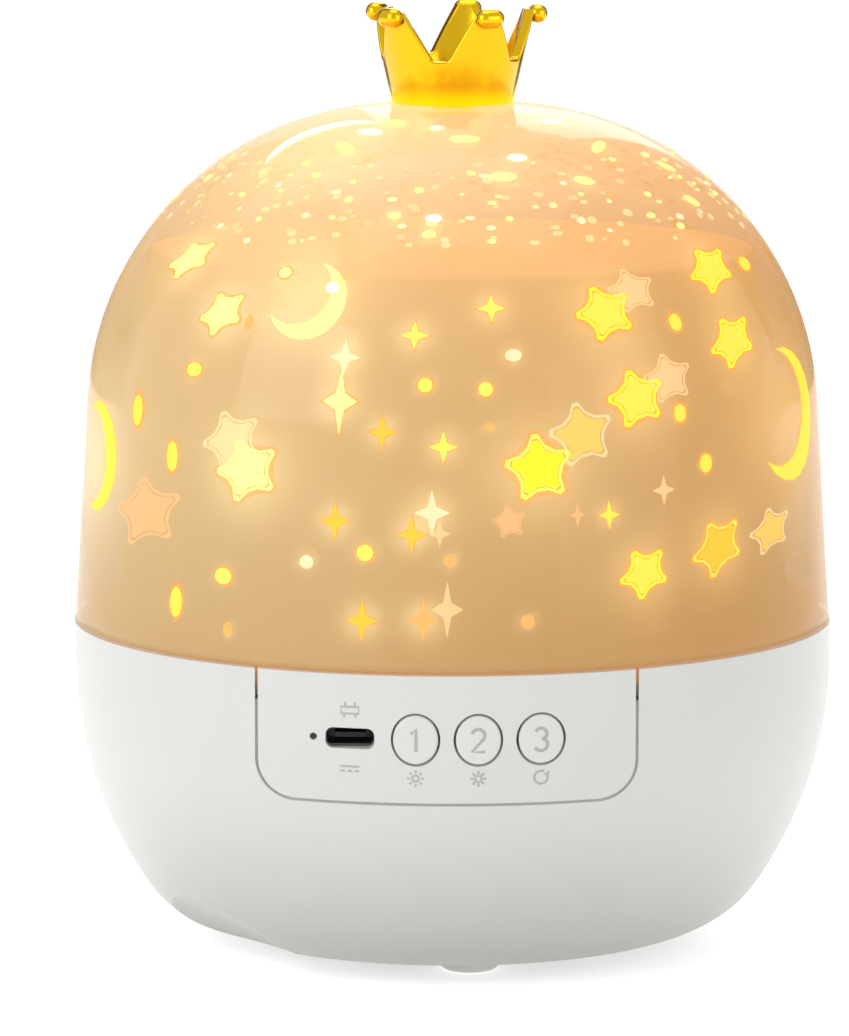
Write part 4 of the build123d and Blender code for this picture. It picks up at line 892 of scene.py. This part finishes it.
# Light motifs on the dome and the film

class Motif(Enum):
    """Shapes that the lamp throws on the dome, and glints: painted highlights on it."""

    STAR = "star"
    GHOST = "ghost"
    SPARKLE = "sparkle"
    DOT = "dot"
    MOON = "moon"
    ARC = "arc"
    STREAK = "streak"


class Wall(Enum):
    """What carries a motif: the CAD node, the height its rays start from and the gap over its face."""

    DOME = ("dome_shell", 0.066, -0.00012)
    UNDER = ("dome_shell", 0.066, -0.000195)
    FILM = ("film_sleeve", 0.078, 0.00002)

    @property
    def node(self) -> Thing:
        """The CAD node."""
        return NODES[self.value[0]]

    def meet(self, eye: Vector, ahead: Vector) -> tuple[Vector, Vector] | None:
        """Where a line first meets the wall's outer face.

        Args:
            eye: Start of the line.
            ahead: Its direction.

        Returns:
            The place and the outward direction there, or nothing.
        """
        hit, spot, normal, _ = self.node.ray_cast(eye, ahead)
        return (spot, normal) if hit else None


@dataclass(frozen=True)
class Mark:
    """One motif: its shape, its pixel in the photograph, its width in pixels and its turn in degrees."""

    motif: Motif
    x: float
    y: float
    width: float
    turn: float = 0.0
    tone: str = "bright"
    stretch: float = 1.0


MARK_ROWS = {
    Motif.STAR: (
        (543, 468, 80, 8, "bright"), (238, 470, 74, 20, "pale"), (612, 312, 68, 18, "gold"),
        (645, 398, 68, 14, "gold"), (653, 573, 58, 30, "gold"), (730, 547, 64, 28, "amber"),
        (722, 268, 56, 22, "gold"), (745, 340, 58, 24, "gold"), (212, 312, 52, 30, "pale"),
        (179, 258, 46, 30, "pale"),
    ),
    Motif.GHOST: (
        (588, 434, 78, 12, "veil"), (222, 440, 72, 24, "mist"), (640, 290, 58, 10, "ghost"),
        (678, 378, 60, 10, "ghost"), (785, 530, 54, 12, "veil"), (133, 512, 84, 12, "faint"),
        (512, 522, 40, 10, "faint"), (345, 268, 40, 10, "faint"),
    ),
    Motif.MOON: ((301, 299, 84, 142, "pale"), (804, 412, 140, 158, "gold"), (82, 455, 114, 186, "gold")),
    Motif.ARC: ((319, 146, 134, -38, "white"),),
    Motif.SPARKLE: (
        (413, 335, 28, 0, "lemon"), (493, 308, 28, 0, "lemon"), (340, 357, 32, 0, "cream", 1.2),
        (335, 401, 34, 0, "pale", 1.9), (379, 432, 26, 0, "amber", 1.3), (443, 447, 28, 0, "lemon", 1.1),
        (330, 521, 28, 0, "amber", 1.3), (431, 513, 36, 0, "cream", 1.3), (410, 535, 28, 0, "amber", 1.3),
        (439, 534, 22, 0, "ghost", 1.3), (358, 621, 30, 0, "amber", 1.3), (422, 620, 32, 0, "peach", 1.35),
        (447, 610, 32, 0, "ghost", 1.8), (616, 515, 22, 0, "gold", 1.3), (673, 490, 24, 0, "ghost", 1.3),
        (583, 515, 16, 0, "faint", 1.6),
    ),
    Motif.DOT: (
        (183, 369, 14, 0, "lemon"), (424, 385, 14, 0, "lemon"), (487, 389, 14, 0, "lemon"),
        (361, 553, 16, 0, "lemon"), (213, 576, 16, 0, "lemon"), (450, 561, 13, 0, "peach"),
        (531, 622, 14, 0, "peach"), (580, 617, 13, 0, "faint"), (685, 322, 12, 0, "gold", 1.5),
        (690, 413, 12, 0, "gold", 1.5), (717, 463, 12, 0, "gold", 1.6), (770, 440, 11, 0, "ghost", 1.3),
        (738, 388, 11, 0, "ghost", 1.3), (295, 547, 13, 0, "ghost", 1.3), (300, 562, 14, 0, "cream"),
        (662, 625, 9, 0, "ghost", 1.4), (757, 263, 10, 0, "gold", 1.6), (516, 355, 17, 0, "cream", 0.75),
        (278, 272, 12, 0, "pale"), (492, 427, 9, 0, "peach"), (512, 286, 12, 0, "ghost"),
        (240, 322, 8, 0, "peach", 2.0), (124, 410, 10, 0, "gold", 3.2), (160, 456, 11, 0, "gold", 2.8),
        (164, 602, 12, 0, "gold", 2.6), (218, 630, 9, 0, "peach", 1.8), (108, 376, 9, 0, "ghost", 2.4),
    ),
    # Painted highlights: glints and short bright streaks on the dome, most round the crown's foot.
    Motif.STREAK: (
        (327, 287, 22, 0, "white"), (436, 127, 18, 90, "white", 1.6), (366, 131, 24, 84, "white", 2.4),
        (392, 122, 30, 84, "pale", 1.8), (556, 121, 26, -84, "white", 2.2), (340, 147, 26, 60, "pale", 2.4),
        (605, 146, 22, -60, "pale", 3.0), (465, 138, 26, 90, "pale", 2.2), (520, 157, 24, 90, "white", 1.6),
        (505, 176, 26, 90, "pale", 2.0), (590, 180, 22, 74, "pale", 1.9), (676, 166, 20, 52, "pale", 2.2),
        (702, 200, 20, 52, "pale", 2.0), (433, 218, 18, 90, "white", 1.7), (428, 234, 16, 90, "pale", 1.6),
        (392, 215, 16, 90, "pale", 1.5),
    ),
}
FRONT_MARKS = [Mark(motif, *row) for motif, rows in MARK_ROWS.items() for row in rows]

TONES = {
    "bright": (srgb("FFF01E"), 0.8), "lemon": (srgb("FFEE5C"), 0.75), "gold": (srgb("FFD64C"), 0.66),
    "amber": (srgb("F8BC36"), 0.62), "pale": (srgb("FFF392"), 0.82), "white": (srgb("FFFBE0"), 0.95),
    "cream": (srgb("F6E0B8"), 0.5), "peach": (srgb("FBB068"), 0.5), "ghost": (srgb("F4D8A8"), 0.42),
    "faint": (srgb("EEC694"), 0.42), "veil": (srgb("F6D870"), 0.45), "rim": (srgb("F2B04C"), 0.5),
    "mist": (srgb("F2E2B4"), 0.45),
}
GHOST_TONES = ("ghost", "faint", "veil", "rim", "mist")
RIM_TONES = ("bright", "lemon", "gold", "amber", "pale")
GHOST_ALPHA = 0.5
RIM_ALPHA = 0.32
GLINT_SHARE = 0.55
LINE_TONES = {"bright": "lemon", "gold": "bright", "amber": "gold", "veil": "mist"}
FLECK_TONES = ("pale", "mist", "cream", "mist", "ghost")
BACK_TONES = ("bright", "gold", "gold", "pale", "amber")
BACK_KINDS = (Motif.STAR, Motif.SPARKLE, Motif.SPARKLE, Motif.DOT, Motif.DOT, Motif.GHOST)
BACK_WIDTHS = {Motif.STAR: 0.0082, Motif.SPARKLE: 0.0052, Motif.DOT: 0.0026, Motif.GHOST: 0.0095}
MOON_SIZES = {"moon": (0.5, 0.44, 0.18), "arc": (0.5, 0.7, 0.34)}
DOT_STEPS = 14
LINE_SHARE = 0.87
RIMS = {Motif.STAR: ("star_soft", 1.22), Motif.DOT: ("dot", 1.36), Motif.SPARKLE: ("sparkle", 1.24)}


def motif_plate(key: str) -> Mesh:
    """A motif's plate, one unit wide.

    Args:
        key: The plate's name.

    Returns:
        Its mesh.
    """
    if key in MOON_SIZES:
        return plate_mesh(key, *moon_arcs(*MOON_SIZES[key]), closed=False)
    star = star_points(5, 0.5, 0.25, 1)
    if key == "star_line":
        return plate_mesh(key, star, [(x * LINE_SHARE, y * LINE_SHARE) for x, y in star], closed=True)
    outline = {
        "star_fill": star_points(5, 0.4, 0.2, 1),
        "star_soft": star_points(5, 0.46, 0.26, 2),
        "sparkle": star_points(4, 0.5, 0.18),
        "dot": arc((0.0, 0.0), 0.5, 0, 360 - 360 / DOT_STEPS, DOT_STEPS - 1),
    }[key]
    return plate_mesh(key, outline, [(0.0, 0.0)] * len(outline), closed=True)


@dataclass
class MotifTree:
    """Geometry Nodes that set a motif at every point and press it on a wall."""

    name: str = "motifs_on_wall"
    inputs: dict[str, str] = field(default_factory=dict)

    def build(self) -> NodeTree:
        """Builds the tree and keeps the identifiers of its inputs.

        Returns:
            The tree.
        """
        tree = bpy.data.node_groups.new(self.name, "GeometryNodeTree")
        tree.is_modifier = True
        kinds = {
            "Points": "Geometry", "Motif": "Object", "Wall": "Object", "Throw Height": "Float",
            "Clearance": "Float", "Thickness": "Float", "Finish": "Material",
        }
        for label, kind in kinds.items():
            socket = tree.interface.new_socket(label, in_out="INPUT", socket_type="NodeSocket" + kind)
            self.inputs[label] = socket.identifier
        tree.interface.new_socket("Pieces", in_out="OUTPUT", socket_type="NodeSocketGeometry")

        def node(kind: str, output: int | str, values: dict | None = None, **settings: object) -> Socket:
            """Adds a node and hands out one of its outputs."""
            return add_node(tree, kind, values, **settings).outputs[output]

        def named(attribute: str, kind: str) -> Socket:
            """Reads a named attribute."""
            return node("GeometryNodeInputNamedAttribute", "Attribute", {"Name": attribute}, data_type=kind)

        def vector(operation: str, values: dict) -> Socket:
            """Adds a step of reckoning with vectors."""
            return node("ShaderNodeVectorMath", "Vector", values, operation=operation)

        start = add_node(tree, "NodeGroupInput").outputs
        motif = node("GeometryNodeObjectInfo", "Geometry", {"Object": start["Motif"]})
        wall = node("GeometryNodeObjectInfo", "Geometry", {"Object": start["Wall"]})
        turn = node("FunctionNodeEulerToRotation", 0, {0: named(TURN, "FLOAT_VECTOR")})
        spread = node("GeometryNodeInstanceOnPoints", "Instances", {
            "Points": start["Points"], "Instance": motif, "Rotation": turn,
            "Scale": named(SIZE, "FLOAT_VECTOR"),
        })
        real = node("GeometryNodeRealizeInstances", "Geometry", {"Geometry": spread})
        centre = node("ShaderNodeCombineXYZ", 0, {"Z": start["Throw Height"]})
        spot = node("GeometryNodeInputPosition", 0)
        outward = vector("NORMALIZE", {0: vector("SUBTRACT", {0: spot, 1: centre})})
        far = vector("SCALE", {0: outward, "Scale": FAR})
        hit = node("GeometryNodeRaycast", "Hit Position", {
            "Target Geometry": wall, "Source Position": vector("ADD", {0: centre, 1: far}),
            "Ray Direction": vector("SCALE", {0: outward, "Scale": -1.0}), "Ray Length": 1.0,
        })
        sums = {0: named(LIFT, "FLOAT"), 1: start["Thickness"], 2: start["Clearance"]}
        raised = node("ShaderNodeMath", 0, sums, operation="MULTIPLY_ADD")
        place = vector("ADD", {0: hit, 1: vector("SCALE", {0: outward, "Scale": raised})})
        pressed = node("GeometryNodeSetPosition", "Geometry", {"Geometry": real, "Position": place})
        paint = {"Geometry": pressed, "Material": start["Finish"]}
        add_node(tree, "NodeGroupOutput", {0: node("GeometryNodeSetMaterial", "Geometry", paint)})
        return tree


@dataclass
class StarLight:
    """Stars, moons, sparkles and dots of light, close under the dome's outer face and on the film."""

    studio: Studio
    paints: Paintbox
    squeeze: float = 0.96
    middle_x: float = 453.0
    plate: float = 0.00006
    side_rise: float = 0.6
    least_facing: float = 0.45
    level: float = 1e-4
    seed: int = 11
    back_count: int = 150
    back_tries: int = 900
    back_angles: Point2 = (math.radians(4), math.radians(176))
    back_heights: Point2 = (0.056, 0.106)
    back_gap: float = 0.0092
    back_turns: Point2 = (-30, 30)
    back_sizes: Point2 = (0.85, 1.15)
    sparkle_stretch: float = 1.25
    fleck_count: int = 420
    fleck_heights: Point2 = (0.112, 0.1235)
    fleck_sizes: Point2 = (0.0007, 0.0018)
    fleck_stretches: Point2 = (0.5, 1.0)
    tree: NodeTree = field(init=False)
    maker: MotifTree = field(default_factory=MotifTree)
    shapes: dict[str, Thing] = field(default_factory=dict)
    points: dict[tuple[str, str, Wall], list[tuple[Vector, Vector, Vector]]] = field(default_factory=dict)
    lights: list[tuple[Vector, float]] = field(default_factory=list)

    def shape(self, key: str) -> Thing:
        """A motif's plate, one unit wide, kept out of the scene.

        Args:
            key: The plate's name.

        Returns:
            The object that the tree copies.
        """
        if key not in self.shapes:
            self.shapes[key] = bpy.data.objects.new("shape_" + key, motif_plate(key))
        return self.shapes[key]

    def put(self, key: str, tone: str, wall: Wall, spot: Vector, outward: Vector, width: float,
            turn: float, stretch: float = 1.0) -> None:
        """Notes one motif for the tree, wider where the dome turns away from the camera.

        Args:
            key: The plate's name.
            tone: The light's tone.
            wall: What carries it.
            spot: Its place.
            outward: The direction it faces.
            width: Its width.
            turn: Its turn in degrees.
            stretch: Its height over its width.
        """
        up = Vector((0, 0, 1)) - outward * outward.z
        up = up.normalized() if up.length > self.level else Vector((0, 1, 0))
        across = up.cross(outward)
        face = Matrix((across, up, outward)).transposed() @ Matrix.Rotation(math.radians(turn), 3, "Z")
        facing = 1.0
        if key not in MOON_SIZES and outward.y < 0 and outward.z < self.side_rise:
            facing = max(-outward.y / math.hypot(outward.x, outward.y), self.least_facing)
        size = Vector((width / facing, width * stretch, width))
        self.points.setdefault((key, tone, wall), []).append((spot, Vector(face.to_euler()), size))

    def put_motif(self, mark: Mark, spot: Vector, outward: Vector, width: float, wall: Wall) -> None:
        """Notes a motif with its fill, its line, its rim and its light in the haze.

        Args:
            mark: The motif.
            spot: Its place.
            outward: The direction it faces.
            width: Its width.
            wall: What carries it.
        """
        turn, tone = mark.turn, mark.tone
        if mark.motif in (Motif.STAR, Motif.GHOST):
            self.put("star_fill", tone, wall, spot, outward, width, turn)
            self.put("star_line", LINE_TONES.get(tone, tone), wall, spot, outward, width, turn)
        # Glints are painted highlights, drawn as stretched dots.
        elif mark.motif is Motif.STREAK:
            self.put("dot", tone, wall, spot, outward, width * GLINT_SHARE, turn, mark.stretch)
        else:
            self.put(mark.motif.value, tone, wall, spot, outward, width, turn, mark.stretch)
        if tone not in GHOST_TONES:
            self.lights.append((spot, width))
            if mark.motif in RIMS and tone in RIM_TONES:
                key, growth = RIMS[mark.motif]
                self.put(key, "rim", Wall.UNDER, spot, outward, width * growth, turn, mark.stretch)

    def put_front(self) -> None:
        """Notes the motifs that the photograph shows."""
        for mark in FRONT_MARKS:
            wall = Wall.FILM if mark.tone in GHOST_TONES and mark.motif is Motif.DOT else Wall.DOME
            x = self.middle_x + (mark.x - self.middle_x) * self.squeeze
            found = wall.meet(*self.studio.ray(x, mark.y))
            if found:
                self.put_motif(mark, *found, mark.width * self.squeeze / self.studio.focal_pixels, wall)

    def spot_round(self, angle: float, height: float) -> tuple[Vector, Vector]:
        """The place on the dome at an angle round it and a height, and the outward direction there."""
        side = Vector((math.cos(angle), math.sin(angle), 0))
        return Wall.DOME.meet(side * FAR + Vector((0, 0, height)), -side)

    def put_back(self) -> None:
        """Notes a seeded spread of motifs round the side that the photograph doesn't show."""
        draw = Random(self.seed)
        taken: list[Vector] = []
        for _ in range(self.back_tries):
            angle, height = draw.uniform(*self.back_angles), draw.uniform(*self.back_heights)
            motif, tone = draw.choice(BACK_KINDS), draw.choice(BACK_TONES)
            turn = draw.uniform(*self.back_turns) if motif is Motif.STAR else 0.0
            spot, normal = self.spot_round(angle, height)
            if any((spot - other).length < self.back_gap for other in taken):
                continue
            taken.append(spot)
            if motif is Motif.GHOST:
                tone = "ghost"
            stretch = self.sparkle_stretch if motif is Motif.SPARKLE else 1.0
            width = BACK_WIDTHS[motif] * draw.uniform(*self.back_sizes)
            self.put_motif(Mark(motif, 0, 0, 0, turn, tone, stretch), spot, normal, width, Wall.DOME)
            if len(taken) >= self.back_count:
                break

    def put_flecks(self) -> None:
        """Notes a seeded spread of small flecks of light round the dome's top."""
        draw = Random(self.seed + 1)
        for _ in range(self.fleck_count):
            angle, height = draw.uniform(0, 2 * math.pi), draw.uniform(*self.fleck_heights)
            spot, normal = self.spot_round(angle, height)
            tone, width = draw.choice(FLECK_TONES), draw.uniform(*self.fleck_sizes)
            self.put("dot", tone, Wall.DOME, spot, normal, width, 0.0, draw.uniform(*self.fleck_stretches))

    def build(self) -> None:
        """Sets all the noted motifs, one piece for each plate, tone and wall."""
        self.tree = self.maker.build()
        self.put_front()
        self.put_back()
        self.put_flecks()
        for (key, tone, wall), spots in self.points.items():
            colour, strength = TONES[tone]
            alpha = RIM_ALPHA if tone == "rim" else GHOST_ALPHA if tone in GHOST_TONES else 1.0
            finish = LightPrint(f"light_{tone}", colour, strength, alpha)
            self.spread(f"{key}_{tone}_{wall.name.lower()}", key, finish, wall, spots)

    def spread(self, name: str, key: str, finish: LightPrint, wall: Wall,
               spots: Sequence[tuple[Vector, Vector, Vector]]) -> None:
        """Runs the tree over some points and keeps the result as a plain mesh.

        Args:
            name: The piece's name.
            key: The plate's name.
            finish: Its light.
            wall: What carries it.
            spots: Places, turns and sizes.
        """
        mesh = bpy.data.meshes.new(name + "_points")
        mesh.from_pydata([tuple(spot) for spot, _, _ in spots], [], [])
        for attribute, k in ((TURN, 1), (SIZE, 2)):
            data = mesh.attributes.new(attribute, "FLOAT_VECTOR", "POINT").data
            data.foreach_set("vector", [c for entry in spots for c in entry[k]])
        carrier = bpy.data.objects.new(name + "_points", mesh)
        bpy.context.scene.collection.objects.link(carrier)
        step = carrier.modifiers.new("motifs", "NODES")
        step.node_group = self.tree
        values = {
            "Motif": self.shape(key), "Wall": wall.node, "Throw Height": wall.value[1],
            "Clearance": wall.value[2], "Thickness": self.plate, "Finish": self.paints.get(finish),
        }
        for label, value in values.items():
            step[self.maker.inputs[label]] = value
        depsgraph = bpy.context.evaluated_depsgraph_get()
        result = bpy.data.meshes.new_from_object(carrier.evaluated_get(depsgraph), depsgraph=depsgraph)
        carrier.modifiers.clear()
        bpy.data.objects.remove(carrier)
        result.name = name
        add_piece(name, result, "dome")

    def clear_shapes(self) -> None:
        """Removes the plates that the tree copied."""
        for shape in self.shapes.values():
            bpy.data.objects.remove(shape)
        self.shapes.clear()


@dataclass
class DomeHaze:
    """Thin lit layer in the dome's wall, close under its outer face, brighter round each motif and, as a
    painted highlight, round the crown's foot.
    """

    paints: Paintbox
    lights: Sequence[tuple[Vector, float]]
    throw_height: float = 0.066
    low_z: float = 0.05105
    low_radius: float = 0.0584
    depth: float = 0.0002
    thickness: float = 0.0001
    rings: int = 84
    segments: int = 220
    hole: float = 0.0062
    halo_share: float = 0.6
    halo_level: float = 0.52
    halo_cut: float = 2.5
    crown_highlight_level: float = 0.7
    crown_highlight_reach: float = 0.0175

    def profile(self, depth: float) -> list[Point2]:
        """Radii and heights of a line under the dome's outer face.

        Args:
            depth: How far under it.

        Returns:
            The profile, from the lower edge to the hole under the crown.
        """
        centre = Vector((0, 0, self.throw_height))
        start = math.atan2(self.low_z - self.throw_height, self.low_radius)
        points = []
        for k in range(self.rings + 1):
            angle = start + (math.pi / 2 - start) * k / self.rings
            ahead = Vector((math.cos(angle), 0, math.sin(angle)))
            found = Wall.DOME.meet(centre + ahead * FAR, -ahead)
            spot = found[0] - ahead * depth
            if spot.x < self.hole:
                break
            points.append((spot.x, spot.z))
        return points

    def glow_at(self, place: Vector) -> float:
        """Share of halo light at a place, plus a painted highlight round the crown's foot.

        Args:
            place: A place on the layer.

        Returns:
            0 away from all motifs, up to 1 in the middle of one.
        """
        total = 0.0
        for spot, width in self.lights:
            far = (place - spot).length / (width * self.halo_share)
            if far < self.halo_cut:
                total += math.exp(-far * far)
        # Painted highlight: a bright glow on the haze round the crown's foot.
        crown = math.exp(-(place.x**2 + place.y**2) / self.crown_highlight_reach**2)
        return min(total, 1.0) * self.halo_level + crown * self.crown_highlight_level

    def build(self) -> None:
        """Builds the layer as a closed thin shell."""
        ring = self.profile(self.depth) + self.profile(self.depth + self.thickness)[::-1]
        form = bmesh.new()
        glow = form.verts.layers.float.new(GLOW)
        columns = []
        for k in range(self.segments):
            angle = 2 * math.pi * k / self.segments
            columns.append([form.verts.new((r * math.cos(angle), r * math.sin(angle), z)) for r, z in ring])
        for vert in form.verts:
            vert[glow] = self.glow_at(vert.co)
        skin(form, columns, closed=True)
        for face in form.faces:
            face.smooth = True
        mesh = mesh_of(form, "dome_haze")
        mesh.materials.append(self.paints.get(HAZE))
        add_piece("dome_haze", mesh, "dome")


# Prints on the panel and the buttons

@dataclass
class Print:
    """Grey lines on a CAD node's front, pressed on its face from the front."""

    paints: Paintbox
    name: str
    node: str
    body: str
    slot: str
    line: float = 0.00032
    proud: float = 0.00003
    form: Form = field(default_factory=bmesh.new)

    def vert(self, x: float, z: float, raised: bool) -> Vert:
        """A vertex on the node's front.

        Args:
            x: Its place across.
            z: Its height.
            raised: Whether it lies over the face or under it.

        Returns:
            The vertex.
        """
        hit, spot, _, _ = NODES[self.node].ray_cast(Vector((x, -FAR, z)), Vector((0, 1, 0)))
        depth = self.proud if raised else -self.proud
        return self.form.verts.new((x, spot.y - depth if hit else 0.0, z))

    def draw(self, line: Sequence[Point2], middle: Point2, scale: float = MM, closed: bool = False) -> None:
        """Draws a line of even width.

        Args:
            line: Its points.
            middle: Where their origin lies on the node's front.
            scale: Size of their unit.
            closed: Whether the last point joins the first.
        """
        spots = [Vector((middle[0] + x * scale, middle[1] + z * scale)) for x, z in line]
        count = len(spots)
        rows = []
        for k, spot in enumerate(spots):
            before = spots[k - 1] if k or closed else spot
            after = spots[(k + 1) % count] if k < count - 1 or closed else spot
            ahead = (after - before).normalized()
            side = Vector((-ahead.y, ahead.x)) * self.line / 2
            corners = ((spot + side, True), (spot - side, True), (spot - side, False), (spot + side, False))
            rows.append([self.vert(place.x, place.y, raised) for place, raised in corners])
        skin(self.form, rows, closed)
        if not closed:
            self.form.faces.new(rows[0])
            self.form.faces.new(rows[-1][::-1])

    def finish(self) -> None:
        """Makes the piece."""
        mesh = mesh_of(self.form, self.name)
        mesh.materials.append(self.paints.get(PRINT_INK))
        add_piece(self.name, mesh, self.body)


@dataclass
class ControlPrints:
    """Plain numbers on the buttons and generic signs on the panel."""

    paints: Paintbox
    control_z: float = 0.041
    socket_x: float = -0.015
    button_xs: tuple[float, ...] = (-0.00535, 0.00385, 0.01305)
    number_height: float = 0.0034
    number_line: float = 0.0005
    sign_drop: float = 0.0058
    plug_rise: float = 0.0042
    power_drop: float = 0.0046

    def build_numbers(self) -> None:
        """Draws 1, 2 and 3 on the buttons."""
        numbers = (
            [(-0.2, 0.28), (0.02, 0.5), (0.02, 0.0), (0.02, -0.5)],
            [*arc((0.0, 0.22), 0.28, 165, -30), (-0.28, -0.5), (0.3, -0.5)],
            [*arc((0.0, 0.24), 0.25, 155, -80), *arc((0.0, -0.23), 0.28, 80, -155)],
        )
        for k, (number, x) in enumerate(zip(numbers, self.button_xs), 1):
            button = f"button_{k}"
            ink = Print(self.paints, f"number_{k}", button, button, "button_white", self.number_line)
            ink.draw(number, (x, self.control_z), self.number_height)
            ink.finish()

    def build_signs(self) -> None:
        """Draws a plug and a direct-current sign by the socket, and a sign under each button."""
        ink = Print(self.paints, "panel_signs", "control_panel", "base", "panel_white")
        plug = (self.socket_x, self.control_z + self.plug_rise)
        ink.draw([(-1.3, -0.5), (1.3, -0.5), (1.3, 0.5), (0.0, 0.5), (-1.3, 0.5)], plug, closed=True)
        for x in (-0.7, 0.7):
            ink.draw([(x, 0.5), (x, 1.2)], plug)
            ink.draw([(x * 1.2, -0.5), (x * 1.2, -1.1)], plug)
        power = (self.socket_x, self.control_z - self.power_drop)
        ink.draw([(-1.4, 0.35), (0.0, 0.35), (1.4, 0.35)], power)
        for x in (-1.05, 0.0, 1.05):
            ink.draw([(x - 0.35, -0.35), (x + 0.35, -0.35)], power)
        sun, wheel, ring = [(x, self.control_z - self.sign_drop) for x in self.button_xs]
        ink.draw(arc((0, 0), 0.5, 0, 324, 9), sun, closed=True)
        for k in range(8):
            way = (math.cos(math.pi * k / 4), math.sin(math.pi * k / 4))
            ink.draw([(way[0] * 0.85, way[1] * 0.85), (way[0] * 1.25, way[1] * 1.25)], sun)
            ink.draw([(way[0] * 0.3, way[1] * 0.3), (way[0] * 1.2, way[1] * 1.2)], wheel)
        ink.draw(arc((0, 0), 1.0, 65, 385, 18), ring)
        ink.draw([(0.45, 0.55), (0.9, 0.45), (1.15, 0.9)], ring)
        ink.finish()

    def build(self) -> None:
        """Draws all the prints."""
        self.build_numbers()
        self.build_signs()


def main() -> None:
    """Builds the looks in order."""
    logging.basicConfig(level=logging.INFO, format="%(name)s: %(message)s")
    studio = Studio()
    studio.build()
    paints = Paintbox()
    paints.dress_nodes()
    stars = StarLight(studio, paints)
    stars.build()
    stars.clear_shapes()
    DomeHaze(paints, stars.lights).build()
    ControlPrints(paints).build()


if __name__ == "__main__":
    main()
